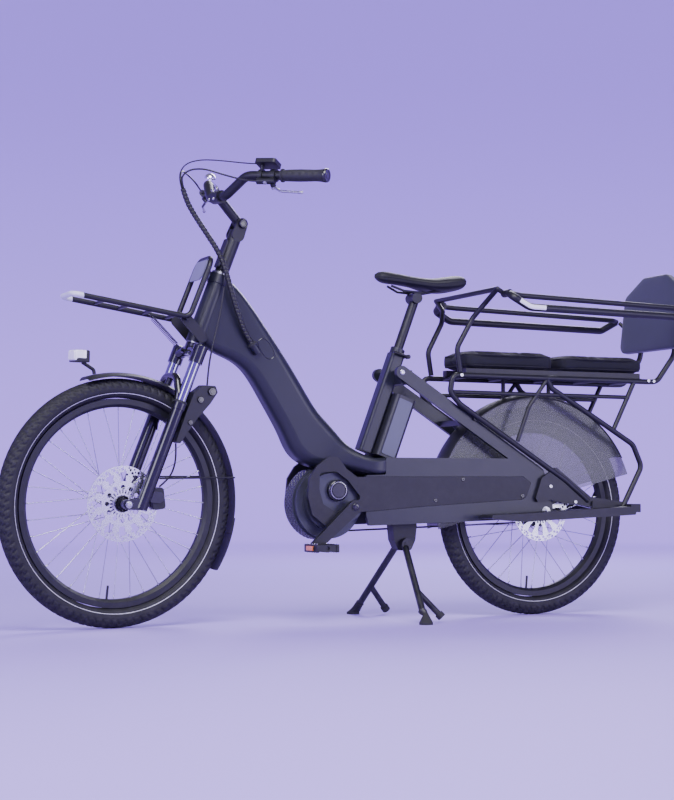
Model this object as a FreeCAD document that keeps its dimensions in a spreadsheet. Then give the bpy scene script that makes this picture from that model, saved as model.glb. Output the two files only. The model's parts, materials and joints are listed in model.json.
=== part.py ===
"""Longtail cargo bicycle, millimetres, +X forward, +Y left, +Z up.

Everything is first laid out in bicycle coordinates: rear axle over x = 0, centre plane y = 0, ground z = 0.
Each finished sub-part then gets one Placement, which moves the middle of the overall length to the origin.
Sub-parts of the steered group are also turned about the steering axis by the resting angle of the bars.
"""
import FreeCAD, Part
import math
import os
from FreeCAD import Placement, Rotation, Vector

os.makedirs("parts", exist_ok=True)
doc = FreeCAD.newDocument("cargo_bicycle")
sheet = doc.addObject("Spreadsheet::Sheet", "sizes")

SIZES = {
    # layout
    "wheelbase": 1287, "middle_x": 564.4, "head_angle": 69, "seat_angle": 69.5, "fork_offset": 51,
    "steer_rest": 7, "front_radius": 334.5, "rear_radius": 308.5,
    # wheels
    "tyre_half": 28.5, "tyre_wall": 3, "bead_gap": 0.3, "bead_half": 12, "rim_half": 14.5, "rim_depth": 23,
    "rim_wall": 2.2, "spoke_radius": 1.1, "spoke_count": 36, "front_rotor_radius": 101.5,
    "rear_rotor_radius": 90, "rotor_thickness": 1.8, "axle_radius": 6, "run_gap": 0.05,
    # fork
    "leg_spread": 65, "leg_lead": 8, "leg_radius": 18, "leg_length": 300, "stanchion_radius": 15,
    "crown_level": 448, "steerer_radius": 14.3, "steerer_top": 760,
    "head_tube_radius": 27, "head_bottom": 487, "head_top": 690, "fork_travel": 50,
    "mudguard_radius": 350, "mudguard_wall": 2.4, "mudguard_half": 33, "guard_crown": 9,
    # cockpit
    "stem_pivot_level": 848, "stem_post_radius": 19.5, "bar_radius": 13, "bar_wall": 2.4,
    "grip_radius": 16.5,
    "grip_length": 128, "brake_droop": 40, "button_radius": 5, "brake_clamp": 152,
    # frame
    "seat_tube_depth": 42, "seat_tube_width": 44, "post_radius": 13.6,
    "stay_inner": 68, "stay_thickness": 14, "cover_depth": 9, "cover_gap": 1.2, "seat_stay_height": 37,
    "motor_radius": 100, "motor_right": 30, "motor_left": 72, "crank_length": 166, "crank_inner": 90,
    "crank_thickness": 14, "spindle_radius": 12, "battery_depth": 66, "battery_width": 92,
    # drive
    "front_pulley": 68, "rear_pulley": 34, "belt_line": 50, "belt_width": 12, "belt_thickness": 5,
    # rear carrier
    "rack_half": 92, "rack_level": 700, "rack_tube": 8, "thin_tube": 6, "carrier_tube": 7.5,
    "hoop_tube": 7.5,
    "rail_tube": 8, "rail_outer_tube": 11, "cushion_bottom": 722.7, "cushion_thickness": 50,
    "rear_cushion_drop": 4, "cushion_half": 86,
    "rear_guard_radius": 346, "rear_guard_half": 38, "guard_wall": 2.4, "skirt_inner": 33,
    "skirt_wall": 2.2,
    "board_inner": 100, "board_outer": 172,
    # stand
    "stand_tube": 9.5, "foot_spread": 240, "stand_block": 20,
}
for row, (alias, value) in enumerate(SIZES.items(), 1):
    sheet.set(f"A{row}", alias)
    sheet.set(f"B{row}", str(value))
    sheet.setAlias(f"B{row}", alias)
doc.recompute()

finished = []
LEFT, RIGHT = 1, -1
SIDES = (LEFT, RIGHT)


def size(alias):
    """Value of one driving dimension."""
    return float(sheet.get(alias))


class Size:
    """Driving dimensions as attributes, read from the sheet."""

    def __getattr__(self, alias):
        return size(alias)


z = Size()

# ---------------------------------------------------------------- datum points and directions
REAR = Vector(0, 0, z.rear_radius)
FRONT = Vector(z.wheelbase, 0, z.front_radius)
HEAD = math.radians(z.head_angle)
UP_HEAD = Vector(-math.cos(HEAD), 0, math.sin(HEAD))
FORE_HEAD = Vector(math.sin(HEAD), 0, math.cos(HEAD))
STEER_FOOT = FRONT - FORE_HEAD * z.fork_offset
SEAT = math.radians(z.seat_angle)
UP_SEAT = Vector(-math.cos(SEAT), 0, math.sin(SEAT))
AFT_SEAT = Vector(-math.sin(SEAT), 0, -math.cos(SEAT))
SEAT_TOP = Vector(449, 0, 763)
CRANK = Vector(626, 0, 322)
MOTOR = Vector(682, 0, 333)
STAND = Vector(432, 0, 214)
ACROSS = Vector(0, 1, 0)


def on_head(level, fore=0.0, side=0.0):
    """Point beside the steering axis, level measured up the axis from the foot of the fork offset."""
    return STEER_FOOT + UP_HEAD * level + FORE_HEAD * fore + ACROSS * side


def on_seat(level, aft=0.0, side=0.0):
    """Point beside the seat tube axis, level measured up the axis from the clamp."""
    return SEAT_TOP + UP_SEAT * level + AFT_SEAT * aft + ACROSS * side


# ---------------------------------------------------------------- building helpers
def bind(obj, **sizes):
    """Tie properties of a document object to expressions on the sheet, or set plain numbers."""
    for prop, value in sizes.items():
        if isinstance(value, str):
            for alias in SIZES:
                value = value.replace("$" + alias + "$", "sizes." + alias)
            obj.setExpression(prop, value)
        else:
            setattr(obj, prop, value)
    return obj


def along(start, direction):
    """Placement at start, with the local Z along direction."""
    return Placement(start, Rotation(Vector(0, 0, 1), direction))


def bar(start, end, radius):
    """Round bar from start to end. The radius is an expression on the sheet or a number."""
    obj = doc.addObject("Part::Cylinder", "bar")
    bind(obj, Radius=radius)
    obj.Height = (end - start).Length
    obj.Placement = along(start, end - start)
    return obj


def block(corner, x, y, height):
    """Box from its lowest corner."""
    obj = doc.addObject("Part::Box", "block")
    bind(obj, Length=x, Width=y, Height=height)
    obj.Placement = Placement(corner, Rotation())
    return obj


def solid(name, shape):
    """Shape worked out with Part's own functions, as a document object."""
    obj = doc.addObject("Part::Feature", name)
    obj.Shape = shape
    return obj


def fuse(*objects):
    """One solid from touching ones."""
    obj = doc.addObject("Part::MultiFuse", "union")
    obj.Shapes = list(objects)
    obj.Refine = False
    return obj


def cut(base, *tools):
    """Base with each tool taken away."""
    obj = doc.addObject("Part::Cut", "difference")
    obj.Base = base
    obj.Tool = tools[0] if len(tools) == 1 else fuse(*tools)
    return obj


def group(*objects):
    """Separate solids that share a node."""
    obj = doc.addObject("Part::Compound", "set")
    obj.Links = list(objects)
    return obj


def arc_path(points, bend):
    """Wire of straight runs through points, with an arc of radius bend at each inner point.

    bend is one number or a list with one number for each inner point.
    """
    bends = bend if isinstance(bend, list) else [bend] * (len(points) - 2)
    edges, start = [], points[0]
    for before, corner, after, radius in zip(points, points[1:], points[2:], bends):
        back = (before - corner).normalize()
        ahead = (after - corner).normalize()
        half_turn = (math.pi - back.getAngle(ahead)) / 2
        setback = radius * math.tan(half_turn)
        middle = (back + ahead).normalize() * (radius / math.cos(half_turn) - radius)
        edges.append(Part.LineSegment(start, corner + back * setback).toShape())
        edges.append(Part.Arc(corner + back * setback, corner + middle, corner + ahead * setback).toShape())
        start = corner + ahead * setback
    edges.append(Part.LineSegment(start, points[-1]).toShape())
    return Part.Wire(edges)


def pipe_shape(points, radius, bend):
    """Solid round tube along points."""
    path = arc_path(points, bend)
    circle = Part.Circle(points[0], points[1] - points[0], radius).toShape()
    return path.makePipeShell([Part.Wire([circle])], True, True)


def pipe(name, points, radius, bend):
    """Solid round tube along points, as a document object."""
    return solid(name, pipe_shape(points, radius, bend))


def cord_bends(points):
    """Arc radii of a cord: 0.45 of the shorter run over the tangent of half the turn."""
    radii = []
    for before, corner, after in zip(points, points[1:], points[2:]):
        half_turn = (math.pi - (before - corner).getAngle(after - corner)) / 2
        run = min((before - corner).Length, (after - corner).Length)
        radii.append(0.45 * run / math.tan(half_turn))
    return radii


def cord(name, points, radius):
    """Cord along a route chosen by hand, with its volume compared with section times length."""
    bends = cord_bends(points)
    path = arc_path(points, bends)
    shape = pipe_shape(points, radius, bends)
    ratio = shape.Volume / (math.pi * radius ** 2 * path.Length)
    print(f"{name}: length {path.Length:.0f}, tightest bend {min(bends):.0f}, volume ratio {ratio:.4f}")
    return solid(name, shape)


def mirrored(points):
    """The same points on the other side of the centre plane."""
    return [Vector(p.x, -p.y, p.z) for p in points]


def both(points):
    """The route on the left and on the right."""
    return (points, mirrored(points))


def outline_edges(points, rounding):
    """Closed outline in the XZ plane with rounded corners, as sketch geometry in (x, z)."""
    count = len(points)
    radii = rounding if isinstance(rounding, list) else [rounding] * count
    arcs = []
    for i, radius in enumerate(radii):
        corner = Vector(*points[i], 0)
        back = (Vector(*points[i - 1], 0) - corner).normalize()
        ahead = (Vector(*points[(i + 1) % count], 0) - corner).normalize()
        half_turn = (math.pi - back.getAngle(ahead)) / 2
        setback = radius * math.tan(half_turn)
        middle = (back + ahead).normalize() * (radius / math.cos(half_turn) - radius)
        arcs.append((corner + back * setback, corner + middle, corner + ahead * setback))
    geometry = []
    for i, (first, middle, last) in enumerate(arcs):
        geometry.append(Part.Arc(first, middle, last))
        geometry.append(Part.LineSegment(last, arcs[(i + 1) % count][0]))
    return geometry


def attached_sketch(body, role, geometry):
    """Sketch on one of the body's own origin planes."""
    sketch = body.newObject("Sketcher::SketchObject", "sketch")
    plane = next(o for o in body.Origin.OriginFeatures if o.Role == role)
    sketch.AttachmentSupport = [(plane, "")]
    sketch.MapMode = "FlatFace"
    sketch.addGeometry(geometry, False)
    return sketch


def plate(name, points, start, end, rounding=4.0, holes=()):
    """Plate with an outline in the XZ plane, between two values of y.

    start and end are numbers. holes are (x, z, radius). The XZ plane's sketch has its normal along -Y,
    so the pad is reversed to grow towards +Y.
    """
    body = doc.addObject("PartDesign::Body", name)
    geometry = outline_edges(points, rounding)
    geometry += [Part.Circle(Vector(hx, hz, 0), Vector(0, 0, 1), radius) for hx, hz, radius in holes]
    sketch = attached_sketch(body, "XZ_Plane", geometry)
    pad = body.newObject("PartDesign::Pad", "pad")
    pad.Profile = sketch
    pad.Length = end - start
    pad.Reversed = True
    body.Placement = Placement(Vector(0, start, 0), Rotation())
    return body


def ring(name, centre, profile):
    """Body of revolution about the Y direction through centre.

    profile is a list of sketch curves with x as the radius and y across the wheel.
    """
    body = doc.addObject("PartDesign::Body", name)
    sketch = attached_sketch(body, "XY_Plane", profile)
    turn = body.newObject("PartDesign::Revolution", "revolution")
    turn.Profile = sketch
    turn.ReferenceAxis = (sketch, ["V_Axis"])
    turn.Angle = 360
    body.Placement = Placement(centre, Rotation())
    return body


def loop(points):
    """Closed polygon as sketch lines."""
    vectors = [Vector(a, b, 0) for a, b in points]
    return [Part.LineSegment(p, q) for p, q in zip(vectors, vectors[1:] + vectors[:1])]


def round_rect(centre, side, up, width, depth, radius):
    """Wire of a rounded rectangle around centre, width along side and depth along up."""
    def at(a, b):
        return centre + side * a + up * b
    w, d, r = width / 2, depth / 2, radius
    k = r * (1 - math.sqrt(0.5))
    return Part.Wire([
        Part.LineSegment(at(-w + r, -d), at(w - r, -d)).toShape(),
        Part.Arc(at(w - r, -d), at(w - k, -d + k), at(w, -d + r)).toShape(),
        Part.LineSegment(at(w, -d + r), at(w, d - r)).toShape(),
        Part.Arc(at(w, d - r), at(w - k, d - k), at(w - r, d)).toShape(),
        Part.LineSegment(at(w - r, d), at(-w + r, d)).toShape(),
        Part.Arc(at(-w + r, d), at(-w + k, d - k), at(-w, d - r)).toShape(),
        Part.LineSegment(at(-w, d - r), at(-w, -d + r)).toShape(),
        Part.Arc(at(-w, -d + r), at(-w + k, -d + k), at(-w + r, -d)).toShape()])


def slab(name, centre, side, up, width, depth, radius, thickness):
    """Rounded plate standing on a rounded rectangle, thickness along side x up."""
    face = Part.Face(round_rect(centre, side, up, width, depth, radius))
    return solid(name, face.extrude(side.cross(up).normalize() * thickness))


def hull_plate(first, r1, second, r2, y0, y1):
    """Flat arm of two rounded ends in the XZ plane, between y0 and y1, as a shape."""
    first, second = Vector(first.x, y0, first.z), Vector(second.x, y0, second.z)
    run = second - first
    reach = run.Length
    lean = math.asin((r1 - r2) / reach)
    base = math.atan2(run.z, run.x)
    ends = []
    for sign in (1, -1):
        angle = base + sign * (math.pi / 2 - lean)
        ray = Vector(math.cos(angle), 0, math.sin(angle))
        ends.append((first + ray * r1, second + ray * r2))
    along_run = Vector(run.x, 0, run.z).normalize()
    edges = [
        Part.LineSegment(ends[0][0], ends[0][1]).toShape(),
        Part.Arc(ends[0][1], second + along_run * r2, ends[1][1]).toShape(),
        Part.LineSegment(ends[1][1], ends[1][0]).toShape(),
        Part.Arc(ends[1][0], first - along_run * r1, ends[0][0]).toShape()]
    return Part.Face(Part.Wire(edges)).extrude(Vector(0, y1 - y0, 0))


STEER_TURN = Placement(Vector(), Rotation(UP_HEAD, z.steer_rest), STEER_FOOT)


def at_rest(point):
    """Resting place of a point of the steered group that is given with the bars straight ahead."""
    return STEER_TURN.multVec(point)


def finish(label, obj, steered=False):
    """Name a sub-part and give it its Placement."""
    shift = Placement(Vector(-z.middle_x, 0, 0), Rotation())
    if steered:
        shift = shift.multiply(STEER_TURN)
    if obj.TypeId in ("Part::Compound", "Part::MultiFuse", "Part::Cut") or not obj.Placement.isIdentity():
        obj.Placement = shift.multiply(obj.Placement)
    else:
        obj.Placement = shift
    obj.Label = label
    finished.append(obj)
    return obj


# ---------------------------------------------------------------- wheels
def tyre_profile(radius):
    """Horseshoe section of a tyre, open at the beads."""
    centre = radius - z.tyre_half
    angle = math.pi - math.asin(z.bead_half / z.tyre_half)
    edges = []
    for reach in (z.tyre_half, z.tyre_half - z.tyre_wall):
        ends = [Vector(centre + reach * math.cos(a), reach * math.sin(a), 0) for a in (angle, -angle)]
        edges.append((ends[0], Vector(centre + reach, 0, 0), ends[1]))
    outer, inner = edges
    return [Part.Arc(*outer), Part.LineSegment(outer[2], inner[2]),
            Part.Arc(*inner[::-1]), Part.LineSegment(inner[0], outer[0])]


def rim_profile(radius):
    """Box section of a rim with one hollow chamber."""
    seat = bead_radius(radius) - z.bead_gap
    inside = seat - z.rim_depth
    wall, half = z.rim_wall, z.rim_half
    outer = [(inside, -6), (inside, 6), (inside + 8, half), (seat, half), (seat, -half),
             (inside + 8, -half)]
    inner = [(inside + wall, -5), (inside + wall, 5), (inside + 9, half - wall), (seat - wall, half - wall),
             (seat - wall, wall - half), (inside + 9, wall - half)]
    return loop(outer) + loop(inner)


def bead_radius(radius):
    """Radius at which the tyre's beads end."""
    return radius - z.tyre_half - math.sqrt(z.tyre_half ** 2 - z.bead_half ** 2)


def spokes(name, centre, radius, flange, flange_y, head_side):
    """Tangent-laced spokes from two flanges to the rim, every other one on the outside of its flange."""
    bars = []
    count = int(z.spoke_count)
    rim_inside = bead_radius(radius) - z.bead_gap - z.rim_depth
    for i in range(count):
        side = SIDES[i % 2]
        lean = SIDES[(i // 2) % 2]
        rim_angle = 2 * math.pi * i / count
        hub_angle = rim_angle + lean * math.radians(68)
        offset = head_side if lean > 0 else -head_side
        start = Vector(flange * math.cos(hub_angle), side * (flange_y + offset),
                       flange * math.sin(hub_angle))
        end = Vector(rim_inside * math.cos(rim_angle), side * 3.0, rim_inside * math.sin(rim_angle))
        run = end - start
        bars.append(Part.makeCylinder(z.spoke_radius, run.Length + 0.1, centre + start, run))
    return solid(name, Part.makeCompound(bars))


def rotor(name, centre, radius, inner_y, windows):
    """Brake disc: drilled track, open windows and a toothed sensor ring near the hub."""
    thick = z.rotor_thickness
    base = centre + ACROSS * inner_y

    def disc(r, grow=0.0):
        return Part.makeCylinder(r, thick + 2 * grow, base - ACROSS * grow, ACROSS)

    shape = disc(radius).cut(disc(17.05, 1))
    tools = []
    gap = disc(radius - 17, 1).cut(disc(radius - 17 - 24, 2))
    for i in range(windows):
        angle = 2 * math.pi * i / windows
        wedge = Part.makeBox(70, thick + 4, 16, Vector(radius - 60, inner_y - 2, -8))
        wedge.rotate(Vector(), ACROSS, math.degrees(angle))
        wedge.translate(Vector(centre.x, 0, centre.z))
        tools.append(gap.common(wedge))
    slot_rows = 3 * windows
    for i in range(slot_rows):
        angle = 2 * math.pi * i / slot_rows
        for reach, shift in ((radius - 5, 0.0), (radius - 11, 0.6)):
            spot = Vector(reach * math.cos(angle + shift / windows), 0,
                          reach * math.sin(angle + shift / windows))
            tools.append(Part.makeCylinder(2.3, thick + 2, base + spot - ACROSS, ACROSS))
    for i in range(2 * windows):
        angle = math.pi * i / windows
        slot = Part.makeBox(10, thick + 4, 4, Vector(28, inner_y - 2, -2))
        slot.rotate(Vector(), ACROSS, math.degrees(angle))
        slot.translate(Vector(centre.x, 0, centre.z))
        tools.append(slot)
    return solid(name, shape.cut(Part.makeCompound(tools)))


def wheel(prefix, centre, radius, hub_profile, flange, flange_y, rotor_radius, rotor_y, steered):
    """Tyre, rim, hub, spokes and rotor of one wheel."""
    finish(prefix + "_tyre", ring(prefix + "_tyre_body", centre, tyre_profile(radius)), steered)
    rim = ring(prefix + "_rim_body", centre, rim_profile(radius))
    rim_inside = bead_radius(radius) - z.bead_gap - z.rim_depth
    between = math.pi / int(z.spoke_count)
    outward = Vector(math.sin(between), 0, -math.cos(between))
    stem_top = centre + outward * rim_inside
    valve = bar(stem_top - outward * 36, stem_top, 3.2)
    finish(prefix + "_rim", group(rim, valve), steered)
    finish(prefix + "_hub", ring(prefix + "_hub_body", centre, loop(hub_profile)), steered)
    finish(prefix + "_spokes", spokes(prefix + "_spoke_set", centre, radius, flange, flange_y, 2.8),
           steered)
    finish(prefix + "_rotor", rotor(prefix + "_disc", centre, rotor_radius, rotor_y, 12), steered)


AXLE_BORE = z.axle_radius + z.run_gap
FRONT_HUB = [(AXLE_BORE, -50), (14, -50), (14, -31), (16, -30), (27, -29.5), (27, -26.8), (22, -26.8),
             (15, -20), (15, 20), (22, 26.8), (27, 26.8), (27, 29.5), (19, 30), (17, 34), (17, 42.5),
             (11, 42.5),
             (11, 50), (AXLE_BORE, 50)]
REAR_HUB = [(AXLE_BORE, -58), (12, -58), (12, -41), (26, -41), (40, -31), (42, -30), (48, -30), (48, -27),
            (43, -27), (40, -23), (40, 23),
            (43, 27), (48, 27), (48, 30), (42, 30), (40, 31), (17, 40), (17, 52.5), (12, 52.5), (12, 62),
            (AXLE_BORE, 62)]


def wheels():
    """Front wheel in the fork and rear wheel in the stays."""
    wheel("front", FRONT, z.front_radius, FRONT_HUB, 24.4, 28.2, z.front_rotor_radius, 39, True)
    wheel("rear", REAR, z.rear_radius, REAR_HUB, 45.4, 28.5, z.rear_rotor_radius, 49, False)


# ---------------------------------------------------------------- fork and front end
def leg_end(side):
    """Foot of one fork leg on its own axis."""
    return on_head(2, z.leg_lead, side * z.leg_spread)


def fork_lowers():
    """Two hollow legs with leading axle lugs, joined by an arch over the tyre."""
    parts = []
    for side in SIDES:
        foot = leg_end(side)
        parts.append(bar(foot, foot + UP_HEAD * z.leg_length, "$leg_radius$"))
        rim_seal = foot + UP_HEAD * (z.leg_length - 14)
        parts.append(bar(rim_seal, rim_seal + UP_HEAD * 18, "$leg_radius$ + 2.5"))
        y0, y1 = sorted((side * 53, side * 76))
        lug = hull_plate(Vector(FRONT.x, y0, FRONT.z), 14, foot + UP_HEAD * 14, 15, y0, y1)
        parts.append(solid("axle_lug", lug))
    caliper_at = FRONT + Vector(-96, 0, 17)
    lug_inner = 39 + z.rotor_thickness / 2 + 2.2 + 14.3
    leg_at = leg_end(LEFT) + UP_HEAD * 38
    parts.append(solid("caliper_lug", hull_plate(leg_at, 15, caliper_at, 15, lug_inner, lug_inner + 6)))
    arch = [on_head(232, -2, -60), on_head(330, 20, -62), on_head(376, 32, -36), on_head(376, 32, 36),
            on_head(330, 20, 62), on_head(232, -2, 60)]
    parts.append(pipe("arch", arch, 10.5, 30))
    seat_gap = z.mudguard_radius + 0.3
    crest = FRONT + (UP_HEAD * 376 + FORE_HEAD * (32 - z.fork_offset)).normalize() * seat_gap
    parts.append(bar(crest, crest + (crest - FRONT).normalize() * 20, 9))
    tools = []
    for side in SIDES:
        foot = leg_end(side)
        tools.append(bar(foot + UP_HEAD * 16, foot + UP_HEAD * 400, "$stanchion_radius$ + $run_gap$"))
    tools.append(bar(FRONT - ACROSS * 90, FRONT + ACROSS * 90, "$axle_radius$ + 0.05"))
    lowers = fuse(*parts)
    tools.append(ring("tyre_room", FRONT, loop([(z.front_radius - 60, -37), (z.mudguard_radius + 0.25, -37),
                                               (z.mudguard_radius + 0.25, 37), (z.front_radius - 60, 37)])))
    finish("fork_lowers", cut(lowers, *tools), True)


def fork_uppers():
    """Crown, steerer and the two sliding uppers."""
    level = z.crown_level
    parts = []
    for side in SIDES:
        low = on_head(level - z.fork_travel - 240, z.leg_lead, side * z.leg_spread)
        top = on_head(level + 10, z.leg_lead, side * z.leg_spread)
        parts.append(bar(low, top, "$stanchion_radius$"))
        parts.append(bar(top - UP_HEAD * 34, top + UP_HEAD * 14, 19.5))
    span = [on_head(level - 2, z.leg_lead, -z.leg_spread), on_head(level + 14, 6, -30),
            on_head(level + 14, 6, 30), on_head(level - 2, z.leg_lead, z.leg_spread)]
    parts.append(pipe("crown_bridge", span, 15, 24))
    parts.append(bar(on_head(level), on_head(z.head_bottom - 3.3), 24))
    parts.append(bar(on_head(level + 10), on_head(z.steerer_top), "$steerer_radius$"))
    spring_eye = on_head(level + 8, 18, 0)
    parts.append(bar(spring_eye, spring_eye + FORE_HEAD * 16, 5))
    finish("fork_uppers", fuse(*parts), True)


def front_axle():
    """Through axle with a head on each side."""
    rod = bar(FRONT - ACROSS * 80, FRONT + ACROSS * 80, "$axle_radius$")
    heads = [bar(FRONT + ACROSS * side * 76.3, FRONT + ACROSS * side * 83, 9.5) for side in SIDES]
    finish("front_axle", fuse(rod, *heads), True)


def guard_arc(name, centre, outer, wall, half, rise, start, end):
    """Crowned band about a wheel's axis, between two angles in degrees from +X towards +Z."""
    outer_arc = (Vector(outer - rise, -half, 0), Vector(outer, 0, 0), Vector(outer - rise, half, 0))
    inner_arc = [p - Vector(wall, 0, 0) for p in outer_arc]
    edges = [Part.Arc(*outer_arc), Part.LineSegment(outer_arc[2], inner_arc[2]),
             Part.Arc(*inner_arc[::-1]), Part.LineSegment(inner_arc[0], outer_arc[0])]
    face = Part.Face(Part.Wire([e.toShape() for e in edges]))
    face.rotate(Vector(), ACROSS, -start)
    band = face.revolve(Vector(), Vector(0, -1, 0), end - start)
    band.translate(centre)
    return solid(name, band)


def front_mudguard():
    """Mudguard band, rubber flap and two wire stays."""
    band = guard_arc("band", FRONT, z.mudguard_radius, z.mudguard_wall, z.mudguard_half,
                     z.guard_crown, 73, 194)
    flap_half = z.mudguard_half - 3
    flap_crown = z.guard_crown * (flap_half / z.mudguard_half) ** 2
    flap = guard_arc("flap", FRONT, z.mudguard_radius + 3.1, 2.8, flap_half, flap_crown, 187, 212)
    stays = []
    for side in SIDES:
        foot = on_head(98, z.leg_lead - z.leg_radius - 3.2, side * z.leg_spread)
        end = FRONT + Vector(-336, side * (z.mudguard_half + 2.6), 70)
        knee = Vector(end.x + 26, side * (z.mudguard_half + 2.6), end.z)
        stays.append(pipe("wire", [foot, knee, end], 2.4, 12))
    finish("front_mudguard", group(band, flap, *stays), True)


def headlight():
    """Lamp body with visor and lens, on a bracket at the mudguard's front lip."""
    reach = 72
    foot = FRONT + Vector(reach, 0, math.sqrt(z.mudguard_radius ** 2 - reach ** 2) + 0.5)
    back = foot + Vector(22, 0, 46)
    body = slab("lamp_body", back, ACROSS, Vector(0, 0, 1), 52, 33, 5, 40)
    lens = slab("lamp_lens", back + Vector(40.3, 0, 0), ACROSS, Vector(0, 0, 1), 48, 29, 4, 4)
    neck = [foot, foot + Vector(2, 0, 12), foot + Vector(34, 0, 30.4)]
    arm = pipe("lamp_arm", neck, 5, 8)
    finish("headlight", group(fuse(body, arm), lens), True)


UNIT_OUTLINE = [(-14, 348), (-32, 376), (-66, 388), (-79, 374), (-70, 338), (-50, 288), (-36, 240),
                (-27, 204),
                (-14, 204), (-12.5, 290)]


def brake_unit():
    """Curved brake control unit clamped behind the left leg."""
    corners = [on_head(level, fore) for fore, level in UNIT_OUTLINE]
    body = plate("unit_body", [(p.x, p.z) for p in corners], z.leg_spread - 15, z.leg_spread + 15, 5)
    clamp_at = on_head(262, z.leg_lead, z.leg_spread)
    clamp = bar(clamp_at, clamp_at - FORE_HEAD * 44, 8)
    bolt_at = on_head(366, -62, z.leg_spread + 15)
    bolt = bar(bolt_at, bolt_at + ACROSS * 2, 6)
    room = bar(leg_end(LEFT), leg_end(LEFT) + UP_HEAD * 420, "$leg_radius$ + 2.8")
    finish("brake_unit", cut(fuse(body, clamp, bolt), room), True)


def caliper(name, centre, radius, disc_y, angle, steered, reach):
    """Disc brake caliper: two halves over the disc's edge with a bridge, and a foot towards its mount."""
    direction = Vector(math.cos(math.radians(angle)), 0, math.sin(math.radians(angle)))
    tangent = ACROSS.cross(direction)
    seat = centre + direction * (radius - 3) + ACROSS * (disc_y + z.rotor_thickness / 2)
    blocks = []
    for side, thick in ((LEFT, reach), (RIGHT, 11)):
        inner = seat + ACROSS * side * 2.2
        face = Part.Face(round_rect(inner, tangent, direction, 58, 36, 9))
        blocks.append(solid("caliper_half", face.extrude(ACROSS * side * thick)))
    over = Part.Face(round_rect(seat + direction * 12.5 - ACROSS * 4, tangent, direction, 40, 11, 4))
    blocks.append(solid("caliper_bridge", over.extrude(ACROSS * 8)))
    finish(name, fuse(*blocks), steered)


CARRIER_KNEE = Vector(1100, 0, 838)
CARRIER_CREST = Vector(1034, 0, 1004)
CARRIER_TIP = Vector(1399, 0, 884)
CARRIER_HALF = 55.0


def front_carrier():
    """Frame-mounted carrier: one bent tube, slats, pale front bar, shield and brackets to the head tube."""
    tube = z.carrier_tube
    aside = ACROSS * CARRIER_HALF
    crest, knee, tip = CARRIER_CREST, CARRIER_KNEE, CARRIER_TIP
    whole = [tip + aside, knee + aside, crest + aside, crest - aside, knee - aside, tip - aside]
    made = [pipe("frame_tube", whole, tube, [22, 30, 30, 22])]
    lean = (tip - knee).normalize()
    nose = [tip + aside, tip + aside + lean * 26, tip - aside + lean * 26, tip - aside]
    made.append(pipe("nose_bar", nose, tube, 18))
    for share in (0.11, 0.33, 0.56, 0.78):
        spot = knee + (tip - knee) * share
        made.append(bar(spot + aside, spot - aside, 4.5))
    rise = (crest - knee).normalize()
    shield = slab("shield", crest - rise * 38 + FORE_HEAD * 5.5, ACROSS, rise,
                  2 * (CARRIER_HALF - tube) - 1.2,
                  60, 14, 3)
    strut = on_head(z.head_top - 14, z.head_tube_radius + 3.3)
    made.append(bar(strut, strut + FORE_HEAD * 24, 8))
    brace = strut + FORE_HEAD * 20
    made.append(bar(brace + aside, brace - aside, 5))
    for side in SIDES:
        low = on_head(z.head_bottom + 16, 0, side * (z.head_tube_radius + 0.2))
        y0, y1 = sorted((side * (CARRIER_HALF - 15), side * (CARRIER_HALF - 11)))
        joint = knee + Vector(4, 0, -4)
        made.append(solid("bracket", hull_plate(low, 15, joint, 15, y0, y1)))
        made.append(bar(low, Vector(low.x, side * (CARRIER_HALF - 13), low.z), 9))
        made.append(bar(joint + ACROSS * side * (CARRIER_HALF - 13), joint + aside * side, 5))
    finish("front_carrier", group(fuse(*made), shield))


def steering_spring():
    """Outer shape of the coil spring from the carrier to the crown that centres the steering."""
    end = at_rest(on_head(z.crown_level + 8, 35.4, 0))
    start = CARRIER_KNEE + (CARRIER_TIP - CARRIER_KNEE) * 0.33 - Vector(0, 0, 6)
    run = (end - start).normalize()
    coil = bar(start + run * 9, end - run * 9, 7.5)
    hooks = [bar(start, start + run * 10, 2.4), bar(end, end - run * 10, 2.4)]
    finish("steering_spring", fuse(coil, *hooks))


# ---------------------------------------------------------------- cockpit
STEM_PIVOT = on_head(z.stem_pivot_level)
BAR_CLAMP = Vector(1003, 0, 1178)
BAR_LEFT = [BAR_CLAMP, BAR_CLAMP + Vector(0, 46, 0), Vector(978, 118, 1228), Vector(845, 313, 1220)]
GRIP_END = BAR_LEFT[-1]
GRIP_RUN = (BAR_LEFT[-1] - BAR_LEFT[-2]).normalize()


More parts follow.
